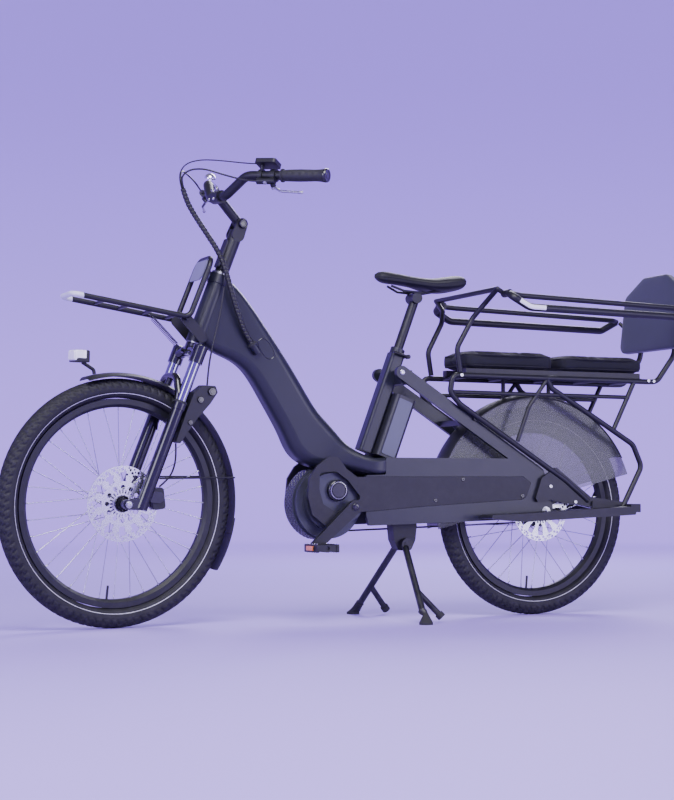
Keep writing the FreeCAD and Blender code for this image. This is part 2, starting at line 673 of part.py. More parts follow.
def stem():
    """Stem post on the steerer, hinged arm with its bolt and bar clamp."""
    post = bar(on_head(z.head_top + 7), on_head(z.stem_pivot_level - 24), "$stem_post_radius$")
    ears = []
    for side in SIDES:
        y0, y1 = sorted((side * 13.3, side * 19.5))
        low = on_head(z.stem_pivot_level - 34)
        ears.append(solid("ear", hull_plate(Vector(low.x, y0, low.z), 19,
                                            Vector(STEM_PIVOT.x, y0, STEM_PIVOT.z),
                                            16.5, y0, y1)))
    lid = slab("clamp_lid", on_head(z.head_top + 60, z.stem_post_radius - 2, 0), ACROSS, UP_HEAD, 24, 86,
               6, 5)
    bolt_hole = bar(STEM_PIVOT - ACROSS * 30, STEM_PIVOT + ACROSS * 30, 8.05)
    steerer_room = bar(on_head(z.head_top), on_head(z.steerer_top + 0.3), "$steerer_radius$ + 0.02")
    finish("stem_post", cut(fuse(post, *ears, lid), bolt_hole, steerer_room), True)

    knuckle = bar(STEM_PIVOT - ACROSS * 13, STEM_PIVOT + ACROSS * 13, 16.5)
    reach = BAR_CLAMP - STEM_PIVOT
    run = Vector(reach.x, 0, reach.z).normalize()
    tube = bar(STEM_PIVOT + run * 8, BAR_CLAMP - run * 10, 13)
    clamp = bar(BAR_CLAMP - ACROSS * 22, BAR_CLAMP + ACROSS * 22, "$bar_radius$ + 5")
    bolt = bar(STEM_PIVOT - ACROSS * 19.4, STEM_PIVOT + ACROSS * 19.4, 8)
    caps = [bar(STEM_PIVOT + ACROSS * side * 19.8, STEM_PIVOT + ACROSS * side * 24, 12.5) for side in SIDES]
    pins = [bar(STEM_PIVOT + ACROSS * side * 19.3, STEM_PIVOT + ACROSS * side * 20, 8) for side in SIDES]
    arm = cut(fuse(knuckle, tube, clamp, bolt, *caps, *pins),
              bar(BAR_CLAMP - ACROSS * 30, BAR_CLAMP + ACROSS * 30, "$bar_radius$ + 0.02"))
    finish("stem_arm", arm, True)


def handlebar():
    """Swept tube, the same on both sides."""
    route = mirrored(BAR_LEFT)[::-1] + BAR_LEFT[1:]
    clean = [p for p in route if p != BAR_CLAMP]
    bends = [50, 40, 40, 50]
    outer = pipe_shape(clean, z.bar_radius, bends)
    inner = pipe_shape(clean, z.bar_radius - z.bar_wall, bends)
    finish("handlebar", solid("bar_tube", outer.cut(inner)), True)


def on_grip(back, side, fore=0.0, rise=0.0):
    """Point on the grip axis, back from the end of the bar, with offsets across it."""
    fore_dir = Vector(GRIP_RUN.y, -GRIP_RUN.x, 0).normalize()
    up_dir = GRIP_RUN.cross(fore_dir) * -1
    point = GRIP_END - GRIP_RUN * back + fore_dir * fore + up_dir * rise
    return Vector(point.x, side * point.y, point.z)


def grips():
    """Rubber grips with end caps."""
    made = []
    for side in SIDES:
        sleeve = bar(on_grip(z.grip_length, side), on_grip(-0.3, side), "$grip_radius$")
        cap = bar(on_grip(-0.5, side), on_grip(-9, side), "$grip_radius$ + 0.8")
        flange = bar(on_grip(z.grip_length, side), on_grip(z.grip_length - 5, side), "$grip_radius$ + 3")
        bore = bar(on_grip(z.grip_length + 5, side), on_grip(-1, side), "$bar_radius$ + 0.02")
        made += [cut(fuse(sleeve, flange), bore), cap]
    finish("grips", group(*made), True)


def on_brake(back, side, fore=0.0, rise=0.0):
    """Point on the grip axis with offsets in the brake's own plane, which droops in front of the bar."""
    droop = math.radians(z.brake_droop)
    ahead = fore * math.cos(droop) + rise * math.sin(droop)
    above = rise * math.cos(droop) - fore * math.sin(droop)
    return on_grip(back, side, ahead, above)


def brakes_on_bar():
    """Master cylinder with clamp on each side, and the two levers."""
    ring_at = z.brake_clamp
    hub_at = ring_at - 8
    bodies = []
    for side in SIDES:
        collar = bar(on_brake(ring_at - 8, side), on_brake(ring_at + 8, side), "$bar_radius$ + 4.5")
        tank = bar(on_brake(ring_at - 14, side, 27), on_brake(ring_at + 40, side, 27), 9)
        neck = bar(on_brake(ring_at, side, 14), on_brake(ring_at, side, 26), 7)
        pivot_boss = bar(on_brake(hub_at, side, 33, -12), on_brake(hub_at, side, 33, -3), 7.5)
        bore = bar(on_brake(ring_at - 20, side), on_brake(ring_at + 20, side), "$bar_radius$ + 0.02")
        bodies.append(cut(fuse(collar, tank, neck, pivot_boss), bore))
    finish("brake_bodies", group(*bodies), True)
    for side, name in ((LEFT, "brake_lever_left"), (RIGHT, "brake_lever_right")):
        hub = bar(on_brake(hub_at, side, 33, -20), on_brake(hub_at, side, 33, -12.3), 7.5)
        blade = pipe("blade", [on_brake(hub_at - 1, side, 33, -16), on_brake(hub_at - 28, side, 52, -16.3),
                               on_brake(hub_at - 94, side, 58, -16.3)], 3.7, 20)
        tip = solid("tip", Part.makeSphere(4.6, on_brake(hub_at - 94, side, 58, -16.3)))
        finish(name, fuse(hub, blade, tip), True)


DISPLAY_AT = z.grip_length + 62
DISPLAY_TILT = Vector(GRIP_RUN.y, -GRIP_RUN.x, 0).normalize() * math.cos(0.35)
DISPLAY_TILT += Vector(0, 0, math.sin(0.35))
DISPLAY_SEAT = on_grip(DISPLAY_AT - 17, LEFT, 1, 27)


def display():
    """Display over the bar beside the left grip, with its push button."""
    clamp = bar(on_grip(DISPLAY_AT - 6, LEFT), on_grip(DISPLAY_AT + 6, LEFT), "$bar_radius$ + 4")
    post = bar(on_grip(DISPLAY_AT, LEFT, 0, 14.5), on_grip(DISPLAY_AT, LEFT, 0, 32), 5.5)
    bore = bar(on_grip(DISPLAY_AT - 20, LEFT), on_grip(DISPLAY_AT + 20, LEFT), "$bar_radius$ + 0.02")
    case = slab("case", DISPLAY_SEAT, DISPLAY_TILT, GRIP_RUN, 44, 62, 7, 12)
    face = DISPLAY_TILT.cross(GRIP_RUN).normalize()
    button_at = DISPLAY_SEAT + face * 9.5 - DISPLAY_TILT * 12
    well = bar(button_at - face * 1.7, button_at + face * 8, "$button_radius$ + 0.25")
    finish("display", cut(fuse(case, clamp, post), bore, well), True)
    finish("display_button", bar(button_at, button_at + face * 5, "$button_radius$"), True)


def bell():
    """Dome bell on the right of the bar."""
    back = z.grip_length + 62
    at = on_grip(back, RIGHT)
    clamp = bar(on_grip(back - 5, RIGHT), on_grip(back + 5, RIGHT), "$bar_radius$ + 4")
    bore = bar(on_grip(back - 20, RIGHT), on_grip(back + 20, RIGHT), "$bar_radius$ + 0.02")
    neck = bar(at + Vector(0, 0, 14), at + Vector(0, 0, 26), 5)
    dome = solid("dome", Part.makeSphere(17, at + Vector(0, 0, 22), Vector(0, 0, 1), 0, 90, 360))
    finish("bell", fuse(cut(clamp, bore), neck, dome), True)


def route(*points):
    """Hand-chosen points of a cord, at rest."""
    return [Vector(*p) for p in points]


BUNDLE_RADIUS, HOSE_RADIUS = 7.5, 2.5
BUNDLE_ROUTE = route((1110, 24, 1192), (1098, 20, 1160), (1081, 20, 1131), (1046, 28, 1077),
                     (1009, 38, 1020),
                     (990, 46, 964), (975, 50, 905), (956, 50, 850), (936, 48, 800), (914, 46, 771))
BUNDLE_TOP, BUNDLE_END = BUNDLE_ROUTE[0], BUNDLE_ROUTE[-1]


def hoses():
    """Brake hoses and the display's lead on the bars, and the wrapped bundle that enters the frame."""
    tank_end = z.brake_clamp + 40.3
    up = (BUNDLE_TOP - BUNDLE_ROUTE[1]).normalize()
    meet = BUNDLE_TOP + up * 0.3
    level_side = (ACROSS - up * up.y).normalize()

    def entry(side, ahead):
        """Last two points of a hose, straight into the bundle's end."""
        spot = meet + level_side * side + Vector(up.z, 0, -up.x) * ahead
        return [spot + up * 19, spot]

    left = [at_rest(on_brake(tank_end, LEFT, 27)), at_rest(on_brake(tank_end + 30, LEFT, 27))]
    left += route((1020, 96, 1226), (1062, 70, 1243), (1096, 48, 1243), (1115, 34, 1228))
    left += entry(3.7, -1)
    right = [at_rest(on_brake(tank_end, RIGHT, 27)), at_rest(on_brake(tank_end + 30, RIGHT, 27))]
    right += route((1040, -76, 1232), (1078, -38, 1245), (1102, -6, 1247), (1114, 14, 1234))
    right += entry(-3.7, -1)
    case_end = DISPLAY_SEAT - GRIP_RUN * 31.3 + DISPLAY_TILT.cross(GRIP_RUN).normalize() * 6
    lead = [at_rest(case_end), at_rest(case_end - GRIP_RUN * 26)]
    lead += route((1030, 78, 1268), (1072, 54, 1270), (1106, 36, 1260), (1121, 27, 1236))
    lead += entry(0.3, 3.6)
    fork = route((1001, 56, 925), (1008, 60, 880), (1018, 63, 835), (1030, 65, 790), (1041, 66, 745),
                 (1048, 63, 700), (1050, 58.5, 653.4))
    unit = route((1140, 62, 494.9), (1138, 60, 466), (1139, 52, 436), (1147, 46, 410), (1163, 43, 391),
                 (1179.1, 43.48, 378.35))
    tubes = [cord("left_hose", left, HOSE_RADIUS), cord("right_hose", right, HOSE_RADIUS),
             cord("display_lead", lead, HOSE_RADIUS - 0.7), cord("fork_hose", fork, HOSE_RADIUS),
             cord("unit_hose", unit, HOSE_RADIUS)]
    finish("control_hoses", group(*tubes))
    finish("hose_bundle", cord("hose_bundle", BUNDLE_ROUTE, BUNDLE_RADIUS))


# ---------------------------------------------------------------- frame
def down_tube():
    """Head tube and the broad step-through beam, lofted down to the yoke that carries the rear stays."""
    sections = [
        # centre x, z, lean of the section in degrees from +Z, width, depth, corner
        (1029, 871, -21, 48, 188, 20), (962, 826, -20, 58, 184, 24), (886, 750, -37, 74, 128, 28),
        (812, 641, -57, 82, 120, 30), (757, 553, -56, 88, 126, 30), (700, 489, -45, 98, 128, 30),
        (628, 459, -16, 126, 70, 24), (575, 442, -4, 160, 48, 16), (522, 438.5, 0, 164, 45, 10)]
    wires = []
    for x, level, lean, width, depth, corner in sections:
        up = Vector(math.sin(math.radians(lean)), 0, math.cos(math.radians(lean)))
        wires.append(round_rect(Vector(x, 0, level), ACROSS, up, width, depth, corner))
    beam = solid("beam", Part.makeLoft(wires, True, False))
    tube = bar(on_head(z.head_bottom), on_head(z.head_top), "$head_tube_radius$")
    collar = bar(on_head(z.head_top - 26), on_head(z.head_top), "$head_tube_radius$ + 3")
    bore = bar(on_head(z.head_bottom - 30), on_head(z.head_top + 30), 22)
    motor_room = bar(MOTOR - ACROSS * 90, MOTOR + ACROSS * 90, "$motor_radius$ + 0.3")
    inward = (BUNDLE_END - BUNDLE_ROUTE[-2]).normalize()
    port = bar(BUNDLE_END + inward * 0.3, BUNDLE_END + inward * 30, BUNDLE_RADIUS + 3)
    finish("down_tube", cut(fuse(beam, tube, collar, port), bore, motor_room))


def headset():
    """Two bearings between head tube and steerer."""
    made = []
    for low, high in ((z.head_bottom - 3, z.head_bottom + 9), (z.head_top - 9, z.head_top + 3)):
        outside = bar(on_head(low), on_head(high), 21.98)
        inside = bar(on_head(low - 2), on_head(high + 2), "$steerer_radius$ + $run_gap$")
        made.append(cut(outside, inside))
    lip = cut(bar(on_head(z.head_top + 0.3), on_head(z.head_top + 6.5), 26),
              bar(on_head(z.head_top - 1), on_head(z.head_top + 9), 22.1))
    finish("headset_bearings", group(*made, lip))


SEAT_FOOT_LEVEL = -302


def seat_tube():
    """Rectangular seat tube with a round sleeve for the post and the clamp collar."""
    width, depth = z.seat_tube_width, z.seat_tube_depth
    foot, top = on_seat(SEAT_FOOT_LEVEL), on_seat(-4)
    outer = Part.Face(round_rect(foot, ACROSS, AFT_SEAT, width, depth, 9)).extrude(top - foot)
    lug_at = on_seat(-62, 22)
    lug = Part.makeBox(36, 2 * z.stay_inner, 40, Vector(lug_at.x - 18, -z.stay_inner, lug_at.z - 26))
    collar = Part.makeCylinder(21, 30, on_seat(-16), UP_SEAT)
    bore = Part.makeCylinder(z.post_radius + z.run_gap, 300, on_seat(-260), UP_SEAT)
    yoke = Part.makeBox(200, 200, 200, Vector(400, -100, 461 - 200))
    shape = outer.multiFuse([lug, collar]).cut(bore).cut(yoke)
    screw = Part.makeCylinder(4, 46, on_seat(-2, 25, -23), ACROSS)
    finish("seat_tube", solid("seat_tube_shell", shape.fuse(screw)))


def seat_clamp_lever():
    """Quick-release lever of the seat clamp, closed along the tube's left side."""
    hinge = on_seat(-2, 25, 25.3)
    boss = bar(hinge - ACROSS * 1.8, hinge + ACROSS * 9, 6.5)
    handle = pipe("handle", [hinge + ACROSS * 6, on_seat(-4, 10, 33), on_seat(-7, -24, 33)], 4, 6)
    finish("seat_clamp_lever", fuse(boss, handle))


STAY_OUTLINE = [(521.6, 461), (521.6, 413), (584, 410.5), (584, 300), (574, 269), (180, 281), (60, 285),
                (12, 292),
                (-24, 306), (-24, 330), (-4, 352), (8, 400), (26, 440), (92, 461)]
COVER_RECESS = [(612, 407), (371, 408), (76, 409), (49, 391), (66, 348), (82, 341), (374, 324), (612, 306)]


def rear_stays():
    """Two deep stays with a shallow recess for the covers, flat seat stays and a bridge."""
    outer = z.stay_inner + z.stay_thickness
    floor = outer - z.cover_depth + 2
    made = []
    for side in SIDES:
        y0, y1 = sorted((side * z.stay_inner, side * outer))
        stay = plate("stay", STAY_OUTLINE, y0, y1, 5)
        r0, r1 = sorted((side * floor, side * (outer + 5)))
        recess = plate("recess", COVER_RECESS, r0, r1, 4)
        hole = bar(REAR - ACROSS * 120, REAR + ACROSS * 120, "$axle_radius$ + 0.2")
        top, low = Vector(470, 0, 704), Vector(22, 0, 417)
        bar_shape = hull_plate(Vector(top.x, y0, top.z), z.seat_stay_height / 2, Vector(low.x, y0, low.z),
                               z.seat_stay_height / 2, y0, y1)
        made.append(cut(fuse(stay, solid("seat_stay", bar_shape)), recess, hole))
    bridge_at = Vector(268, 0, 564)
    bridge = block(bridge_at - Vector(6, z.stay_inner, 8), 12, "2 * $stay_inner$", 16)
    outward = (bridge_at - REAR).normalize()
    lug = bar(REAR + outward * (z.rear_guard_radius + 0.5), bridge_at, 5)
    finish("rear_stays", fuse(*made, bridge, lug))


COVER_LOBE = [(613, 304.5), (650, 277), (705, 268), (748, 300), (762, 352), (757, 402), (735, 436),
              (700, 461),
              (672, 462), (644, 428), (612, 405.8)]
CAP_WINDOW = [(726, 418), (676, 421), (640, 396), (598, 346), (674, 306), (716, 330), (728, 372)]


def drive_covers():
    """Covers in the stays' recesses, with a lobe around the motor and an opening for its cap."""
    outer = z.stay_inner + z.stay_thickness
    floor = outer - z.cover_depth + 2
    gap = z.cover_gap
    made = []
    for side in SIDES:
        y0, y1 = sorted((side * floor, side * (floor + z.cover_depth)))
        tail = [(612, 407 - gap), (371, 408 - gap), (77, 409 - gap), (51, 391), (67, 349), (83, 341 + gap),
                (374, 324 + gap), (612, 306 + gap)]
        long_plate = plate("cover_tail", tail, y0, y1, 3)
        lobe = plate("cover_lobe", COVER_LOBE, y0, y1, 3)
        window = plate("window", CAP_WINDOW, y0 - 2, y1 + 2, 10)
        crank_room = bar(CRANK - ACROSS * 120, CRANK + ACROSS * 120, 21)
        made.append(cut(fuse(long_plate, lobe), window, crank_room))
        for x, level in ((277, 400), (366, 340), (80, 352)):
            at = Vector(x, side * (floor + z.cover_depth), level)
            made.append(bar(at + ACROSS * side * 0.1, at + ACROSS * side * 2, 4))
    finish("drive_covers", group(*made))


def motor():
    """Motor housing between the beam's ears, stepped to the left, with its round cap and front guard."""
    r = z.motor_radius
    drum = bar(MOTOR - ACROSS * z.motor_right, MOTOR + ACROSS * 44, "$motor_radius$")
    left = bar(MOTOR + Vector(-2, 44, 4), MOTOR + Vector(-2, z.motor_left - 6, 4), r - 20)
    cap = bar(Vector(667, z.motor_left - 8, 368), Vector(667, z.motor_left + 6, 368), 30)
    crank_boss = bar(CRANK - ACROSS * (z.motor_right + 6), CRANK + ACROSS * (z.motor_left - 6), 38)
    bore = bar(CRANK - ACROSS * 150, CRANK + ACROSS * 150, "$spindle_radius$ + $run_gap$")
    guard = guard_arc("guard", MOTOR, r + 5.4, 4.5, 29, 0.6, -78, 62)
    finish("motor_housing", group(cut(fuse(drum, left, cap, crank_boss), bore), guard))


def battery():
    """Battery behind the seat tube, with a lighter side panel on each side and a handle."""
    depth, width = z.battery_depth, z.battery_width
    foot = on_seat(-302, z.seat_tube_depth / 2 + depth / 2 + 2)
    top_level = -116
    face = Part.Face(round_rect(foot, ACROSS, AFT_SEAT, width, depth, 12))
    case = face.extrude(UP_SEAT * (top_level + 302))
    floor = Part.makeBox(240, 200, 100, Vector(330, -100, 461.3 - 100))
    bearer = Part.makeBox(130, 2 * z.stay_inner, 12, Vector(392, -z.stay_inner, 449))
    panels = []
    for side in SIDES:
        centre = on_seat(-210, z.seat_tube_depth / 2 + depth / 2 + 2, side * (width / 2 + 0.1))
        panel = Part.Face(round_rect(centre, AFT_SEAT, UP_SEAT, depth - 22, 168,
                                     4)).extrude(ACROSS * side * 2.2)
        panels.append(panel.cut(floor))
    body = case.cut(floor)
    finish("battery", solid("battery_case", Part.makeCompound([body, bearer] + panels)))


# ---------------------------------------------------------------- drive
PEDAL_ANGLE = -42.0


def crank_end(side):
    """Centre of one pedal axle."""
    turn = math.radians(PEDAL_ANGLE)
    reach = Vector(math.cos(turn), 0, math.sin(turn)) * z.crank_length
    return CRANK + reach * side


def crankset():
    """Spindle, two arms and the toothed front belt pulley."""
    arms = []
    for side in SIDES:
        y0, y1 = sorted((side * z.crank_inner, side * (z.crank_inner + z.crank_thickness)))
        end = crank_end(side)
        arm = hull_plate(Vector(CRANK.x, y0, CRANK.z), 19, Vector(end.x, y0, end.z), 14, y0, y1)
        arms.append(solid("arm", arm))
    span = z.crank_inner + z.crank_thickness + 1.5
    spindle = bar(CRANK - ACROSS * span, CRANK + ACROSS * span, "$spindle_radius$")
    axles = [bar(crank_end(side) + ACROSS * side * (z.crank_inner + 2),
                 crank_end(side) + ACROSS * side * (z.crank_inner + z.crank_thickness + 84), 5.5)
             for side in SIDES]
    carrier = bar(CRANK - ACROSS * (z.belt_line + 4), CRANK - ACROSS * (z.belt_line - 4), 40)
    finish("crankset", group(fuse(spindle, *arms, *axles, carrier),
                             pulley(CRANK, z.front_pulley, 38, 40.1)))


def pulley(centre, radius, teeth, bore):
    """Belt pulley with straight teeth across its rim."""
    half = z.belt_width / 2
    middle = centre - ACROSS * z.belt_line
    shape = Part.makeCylinder(radius - 0.4, 2 * half, middle - ACROSS * half, ACROSS)
    shape = shape.cut(Part.makeCylinder(bore, 4 * half, middle - ACROSS * 2 * half, ACROSS))
    notches = []
    for i in range(teeth):
        angle = 2 * math.pi * i / teeth
        spot = Vector(math.cos(angle), 0, math.sin(angle)) * (radius + 0.6)
        notches.append(Part.makeCylinder(2.2, 4 * half, middle + spot - ACROSS * 2 * half, ACROSS))
    return solid("pulley", shape.cut(Part.makeCompound(notches)))


def rear_sprocket():
    """Rear belt pulley, which turns on the hub through its freewheel."""
    finish("rear_sprocket", pulley(REAR, z.rear_pulley, 19, 12 + z.run_gap))


def drive_belt():
    """Closed belt around both pulleys."""
    half = z.belt_width / 2
    start, end = CRANK - ACROSS * (z.belt_line - half + 0.5), REAR - ACROSS * (z.belt_line - half + 0.5)
    inner = hull_plate(Vector(start.x, start.y, start.z), z.front_pulley + 0.1,
                       Vector(end.x, end.y, end.z), z.rear_pulley + 0.1, -z.belt_line - half + 0.5,
                       -z.belt_line + half - 0.5)
    outer = hull_plate(Vector(start.x, start.y, start.z), z.front_pulley + z.belt_thickness,
                       Vector(end.x, end.y, end.z), z.rear_pulley + z.belt_thickness,
                       -z.belt_line - half + 0.5, -z.belt_line + half - 0.5)
    finish("drive_belt", solid("belt", outer.cut(inner)))


def pedal(side, name):
    """Platform pedal: two rails, cross plates, a sleeve for its axle and amber reflectors."""
    centre = crank_end(side) + ACROSS * side * (z.crank_inner + z.crank_thickness + 46)
    parts = []
    for end in (-1, 1):
        parts.append(slab("rail", centre + Vector(end * 29.5 - 3.5, 0, 0), ACROSS, Vector(0, 0, 1), 88, 22,
                          4, 7))
        y0 = centre.y + end * 38
        parts.append(block(Vector(centre.x - 28, y0 - 4, centre.z - 9), 56, 8, 18))
    parts.append(bar(centre - ACROSS * 42, centre + ACROSS * 42, 11))
    frame = cut(fuse(*parts), bar(centre - ACROSS * 60, centre + ACROSS * 60, 5.55))
    lenses = [slab("reflector", centre + Vector(end * 33 + (0.3 if end > 0 else -3.3), 0, 0), ACROSS,
                   Vector(0, 0, 1), 46, 12, 2, 3) for end in (-1, 1)]
    finish(name, group(frame, *lenses))


# ---------------------------------------------------------------- saddle
def seat_post():
    """Seat post with its head and the two saddle rails."""
    post = bar(on_seat(-190), on_seat(166), "$post_radius$")
    head_at = on_seat(172, -4)
    head = bar(head_at - ACROSS * 24, head_at + ACROSS * 24, 16)
    rails = []
    for side in SIDES:
        y = side * 22
        rails.append(pipe("saddle_rail", [Vector(472, side * 12, 958.2), Vector(436, y, 944), Vector(366, y,
        940),
                                          Vector(306, side * 34, 952.2)], 3.5, 14))
    finish("seat_post", fuse(post, head, *rails))


def saddle():
    """Closed solid of the saddle's outer shape, narrow nose in front."""
    sections = [(515, 34, 28, 986), (470, 46, 36, 982), (410, 66, 34, 976), (345, 112, 30, 973),
                (290, 156, 34, 971), (243, 150, 40, 965)]
    wires = []
    for x, width, depth, level in sections:
        corner = min(depth, width) * 0.4
        wires.append(round_rect(Vector(x, 0, level), ACROSS, Vector(0, 0, 1), width, depth, corner))
    finish("saddle", solid("saddle_pad", Part.makeLoft(wires, True, False)))


# ---------------------------------------------------------------- rear carrier
def rear_rack():
    """Two bent tube sides, cross tubes, seat rails, struts and dropout plates."""
    half, level = z.rack_half, z.rack_level
    made = []
    for side in SIDES:
        y = side * half
        top = [Vector(-350, y, level - 3), Vector(314, y, level), Vector(322, y, 650), Vector(290, y, 616),
               Vector(-58, y, 400), Vector(-140, y, 336)]
        made.append(pipe("side_tube", top, z.rack_tube, [20, 24, 40, 60]))
        made.append(bar(Vector(-286, y, 648), Vector(312, y, 651), "$thin_tube$"))
        made.append(bar(Vector(-306, y, level - 3), Vector(-232, y, 552), "$rack_tube$ - 1"))
        diagonal = [Vector(0, y, 694), Vector(-18, y, 668), Vector(-214, y, 556), Vector(-300, y, 506),
                    Vector(-330, y, 440), Vector(-262, y, 318)]
        made.append(pipe("diagonal", diagonal, z.rack_tube, [14, 200, 40, 30]))
        made.append(bar(Vector(0, y, 694), Vector(62, y, 612), "$thin_tube$"))
        made.append(bar(Vector(62, y, 612), Vector(100, y, 512), "$thin_tube$"))
        plate_points = [(-30, 436), (20, 404), (40, 346), (34, 334), (-14, 340), (-60, 330), (-176, 318),
                        (-270, 318), (-262, 334), (-150, 348)]
        y0, y1 = sorted((side * (z.stay_inner + z.stay_thickness + 0.2), side * (half + 2)))
        made.append(plate("dropout_plate", plate_points, y0, y1, 4))
    for x in (250, 96, -60, -200, -330):
        made.append(bar(Vector(x, -half, level), Vector(x, half, level), "$thin_tube$"))
    for side in SIDES:
        y = side * 60
        made.append(block(Vector(-340, y - 12, level + 5), 600, 24, z.cushion_bottom - 0.4 - level - 5))
        clip = Vector(236, 0, 577)
        stay_face = z.stay_inner + z.stay_thickness + 0.2
        made.append(bar(clip + ACROSS * side * stay_face, clip + ACROSS * side * (half - 2), 8))
    for x in (96, -60):
        crest = math.sqrt(z.rear_guard_radius ** 2 - x ** 2) + z.rear_radius
        made.append(bar(Vector(x, 0, level - 4), Vector(x, 0, crest + 1.6), 6))
    finish("rear_rack", fuse(*made))


def cushions():
    """Front and rear seat pads on the rack."""
    pads = (("seat_cushion_front", -46, 275, z.cushion_thickness),
            ("seat_cushion_rear", -362, -49, z.cushion_thickness - z.rear_cushion_drop))
    for name, back, front, thick in pads:
        centre = Vector(back, 0, z.cushion_bottom + thick / 2)
        face = Part.Face(round_rect(centre, ACROSS, Vector(0, 0, 1), 2 * z.cushion_half, thick, 16))
        finish(name, solid(name + "_pad", face.extrude(Vector(front - back, 0, 0))))


RAIL_JOINT = Vector(197, 0, 930)


def hoops():
    """Grab hoop that widens upwards, with its crossbar behind the saddle and a seat for each hand rail."""
    half = z.rack_half
    corner = Vector(221, 190, 943)
    side_route = [Vector(289, half, z.rack_level + z.rack_tube + 0.8), Vector(300, half, 778),
                  Vector(251, half + 5, 866), Vector(229, 132, 907), corner]
    made = [pipe("hoop_side", points, z.hoop_tube, [40, 30, 25]) for points in both(side_route)]
    made.append(bar(corner, mirrored([corner])[0], "$hoop_tube$"))
    for side in SIDES:
        end = Vector(corner.x, side * corner.y, corner.z)
        made.append(solid("corner", Part.makeSphere(z.hoop_tube, end)))
        made.append(bar(end, RAIL_JOINT + ACROSS * side * 190, 7))
        made.append(bar(RAIL_JOINT + ACROSS * side * 186, RAIL_JOINT + ACROSS * side * 199.7, 11))
    finish("grab_hoop", fuse(*made))


def hand_rails():
    """A narrow loop of tube on each side, bolted to the hoop's corner and to the backrest's arm."""
    made = []
    for side in SIDES:
        hub = RAIL_JOINT + ACROSS * side * 212
        block_joint = bar(RAIL_JOINT + ACROSS * side * 200, RAIL_JOINT + ACROSS * side * 221, 11)
        bolt = bar(RAIL_JOINT + ACROSS * side * 221, RAIL_JOINT + ACROSS * side * 225, 6)
        rear_end = Vector(-444, side * 216, 908)
        inner_tube = pipe("inner_rail", [hub, Vector(150, side * 203, 926), Vector(-420, side * 203, 911),
                                         rear_end],
                          z.rail_tube, [60, 12])
        outer_tube = pipe("outer_rail", [rear_end, Vector(-404, side * 245, 880),
                                         Vector(146, side * 245, 889),
                                         Vector(196, side * 241, 916), hub], z.rail_outer_tube,
                                         [22, 45, 14])
        made.append(fuse(inner_tube, outer_tube, block_joint, bolt))
    finish("hand_rails", group(*made))


def backrest():
    """Bent tubes from the rack's rear end, cross bars, arms to the hand rails, and the pad."""
    half = z.rack_half
    made = []
    lean = math.radians(7)
    tilt = Vector(-math.sin(lean), 0, math.cos(lean))
    normal = ACROSS.cross(tilt)
    foot = Vector(-451, 0, 780)
    for side in SIDES:
        aside = ACROSS * side * half
        tube = [Vector(-350.3, 0, z.rack_level - 3) + aside, Vector(-388, 0, z.rack_level - 2) + aside,
                foot + aside, foot + aside + tilt * 204]
        made.append(pipe("upright", tube, z.rack_tube, [34, 60]))
        arm = [foot + aside + tilt * 30, Vector(-487, side * 172, 852), Vector(-457, side * 218, 905)]
        made.append(pipe("arm", arm, z.thin_tube, 30))
    for rise in (54, 174):
        made.append(bar(foot + tilt * rise - ACROSS * half, foot + tilt * rise + ACROSS * half,
                        "$thin_tube$"))
    finish("backrest_frame", fuse(*made))
    centre = foot + tilt * 134 + normal * (z.rack_tube + 0.4)
    outline = [(-161, -120), (161, -120), (161, 62), (64, 120), (-64, 120), (-161, 62)]
    wire = Part.makePolygon([centre + ACROSS * a + tilt * b for a, b in outline + outline[:1]])
    pad = Part.Face(wire).extrude(normal * 34)
    upright_edges = [e for e in pad.Edges if abs(e.tangentAt(e.FirstParameter).dot(normal)) > 0.99]
    finish("backrest_pad", solid("pad_body", pad.makeFillet(24, upright_edges)))


def footboards():
    """Foot boards beside the rear wheel, rising a little to the rear."""
    made = []
    for side in SIDES:
        y0, y1 = sorted((side * z.board_inner, side * z.board_outer))
        points = [(232, 288), (120, 278), (-256, 296), (-262, 316), (-240, 320), (130, 301), (228, 298)]
        board = plate("board", points, y0, y1, 4)
        rear_face = side * (z.rack_half + 2.3)
        tab = plate("tab", [(-232, 300), (-232, 336), (-150, 336), (-150, 300)],
                    *sorted((rear_face, side * (z.board_inner + 1))), 4)
        stay_face = side * (z.stay_inner + z.stay_thickness + 0.3)
        front_tab = plate("front_tab", [(158, 284), (158, 297), (212, 297), (212, 284)],
                          *sorted((stay_face, side * (z.board_inner + 1))), 3)
        stop = block(Vector(-288, min(side * 118, side * 150), 303), 34, 32, 25)
        made.append(fuse(board, tab, front_tab, stop))
    finish("footboards", group(*made))


def rear_guards():
    """Mudguard band over the rear wheel and a clear skirt guard on each side of it."""
    finish("rear_mudguard", guard_arc("rear_band", REAR, z.rear_guard_radius, z.guard_wall,
                                      z.rear_guard_half, z.guard_crown, -6, 152))
    made = []
    for side in SIDES:
        far = z.skirt_inner + z.skirt_wall
        y0, y1 = sorted((side * z.skirt_inner, side * far))
        outer = z.rear_guard_radius - z.guard_wall - z.guard_crown * (far / z.rear_guard_half) ** 2 - 0.4
        base = Vector(0, y0, REAR.z)
        disc = Part.makeCylinder(outer, y1 - y0, base, ACROSS)
        hub_room = Part.makeCylinder(64, 20, base - ACROSS * 9, ACROSS)
        low = Part.makeBox(900, 40, 600, Vector(-450, -20, -600))
        low.rotate(Vector(), ACROSS, 14)
        low.translate(Vector(0, y0, REAR.z + 30))
        made.append(solid("skirt", disc.cut(hub_room).cut(low)))
    finish("skirt_guards", group(*made))


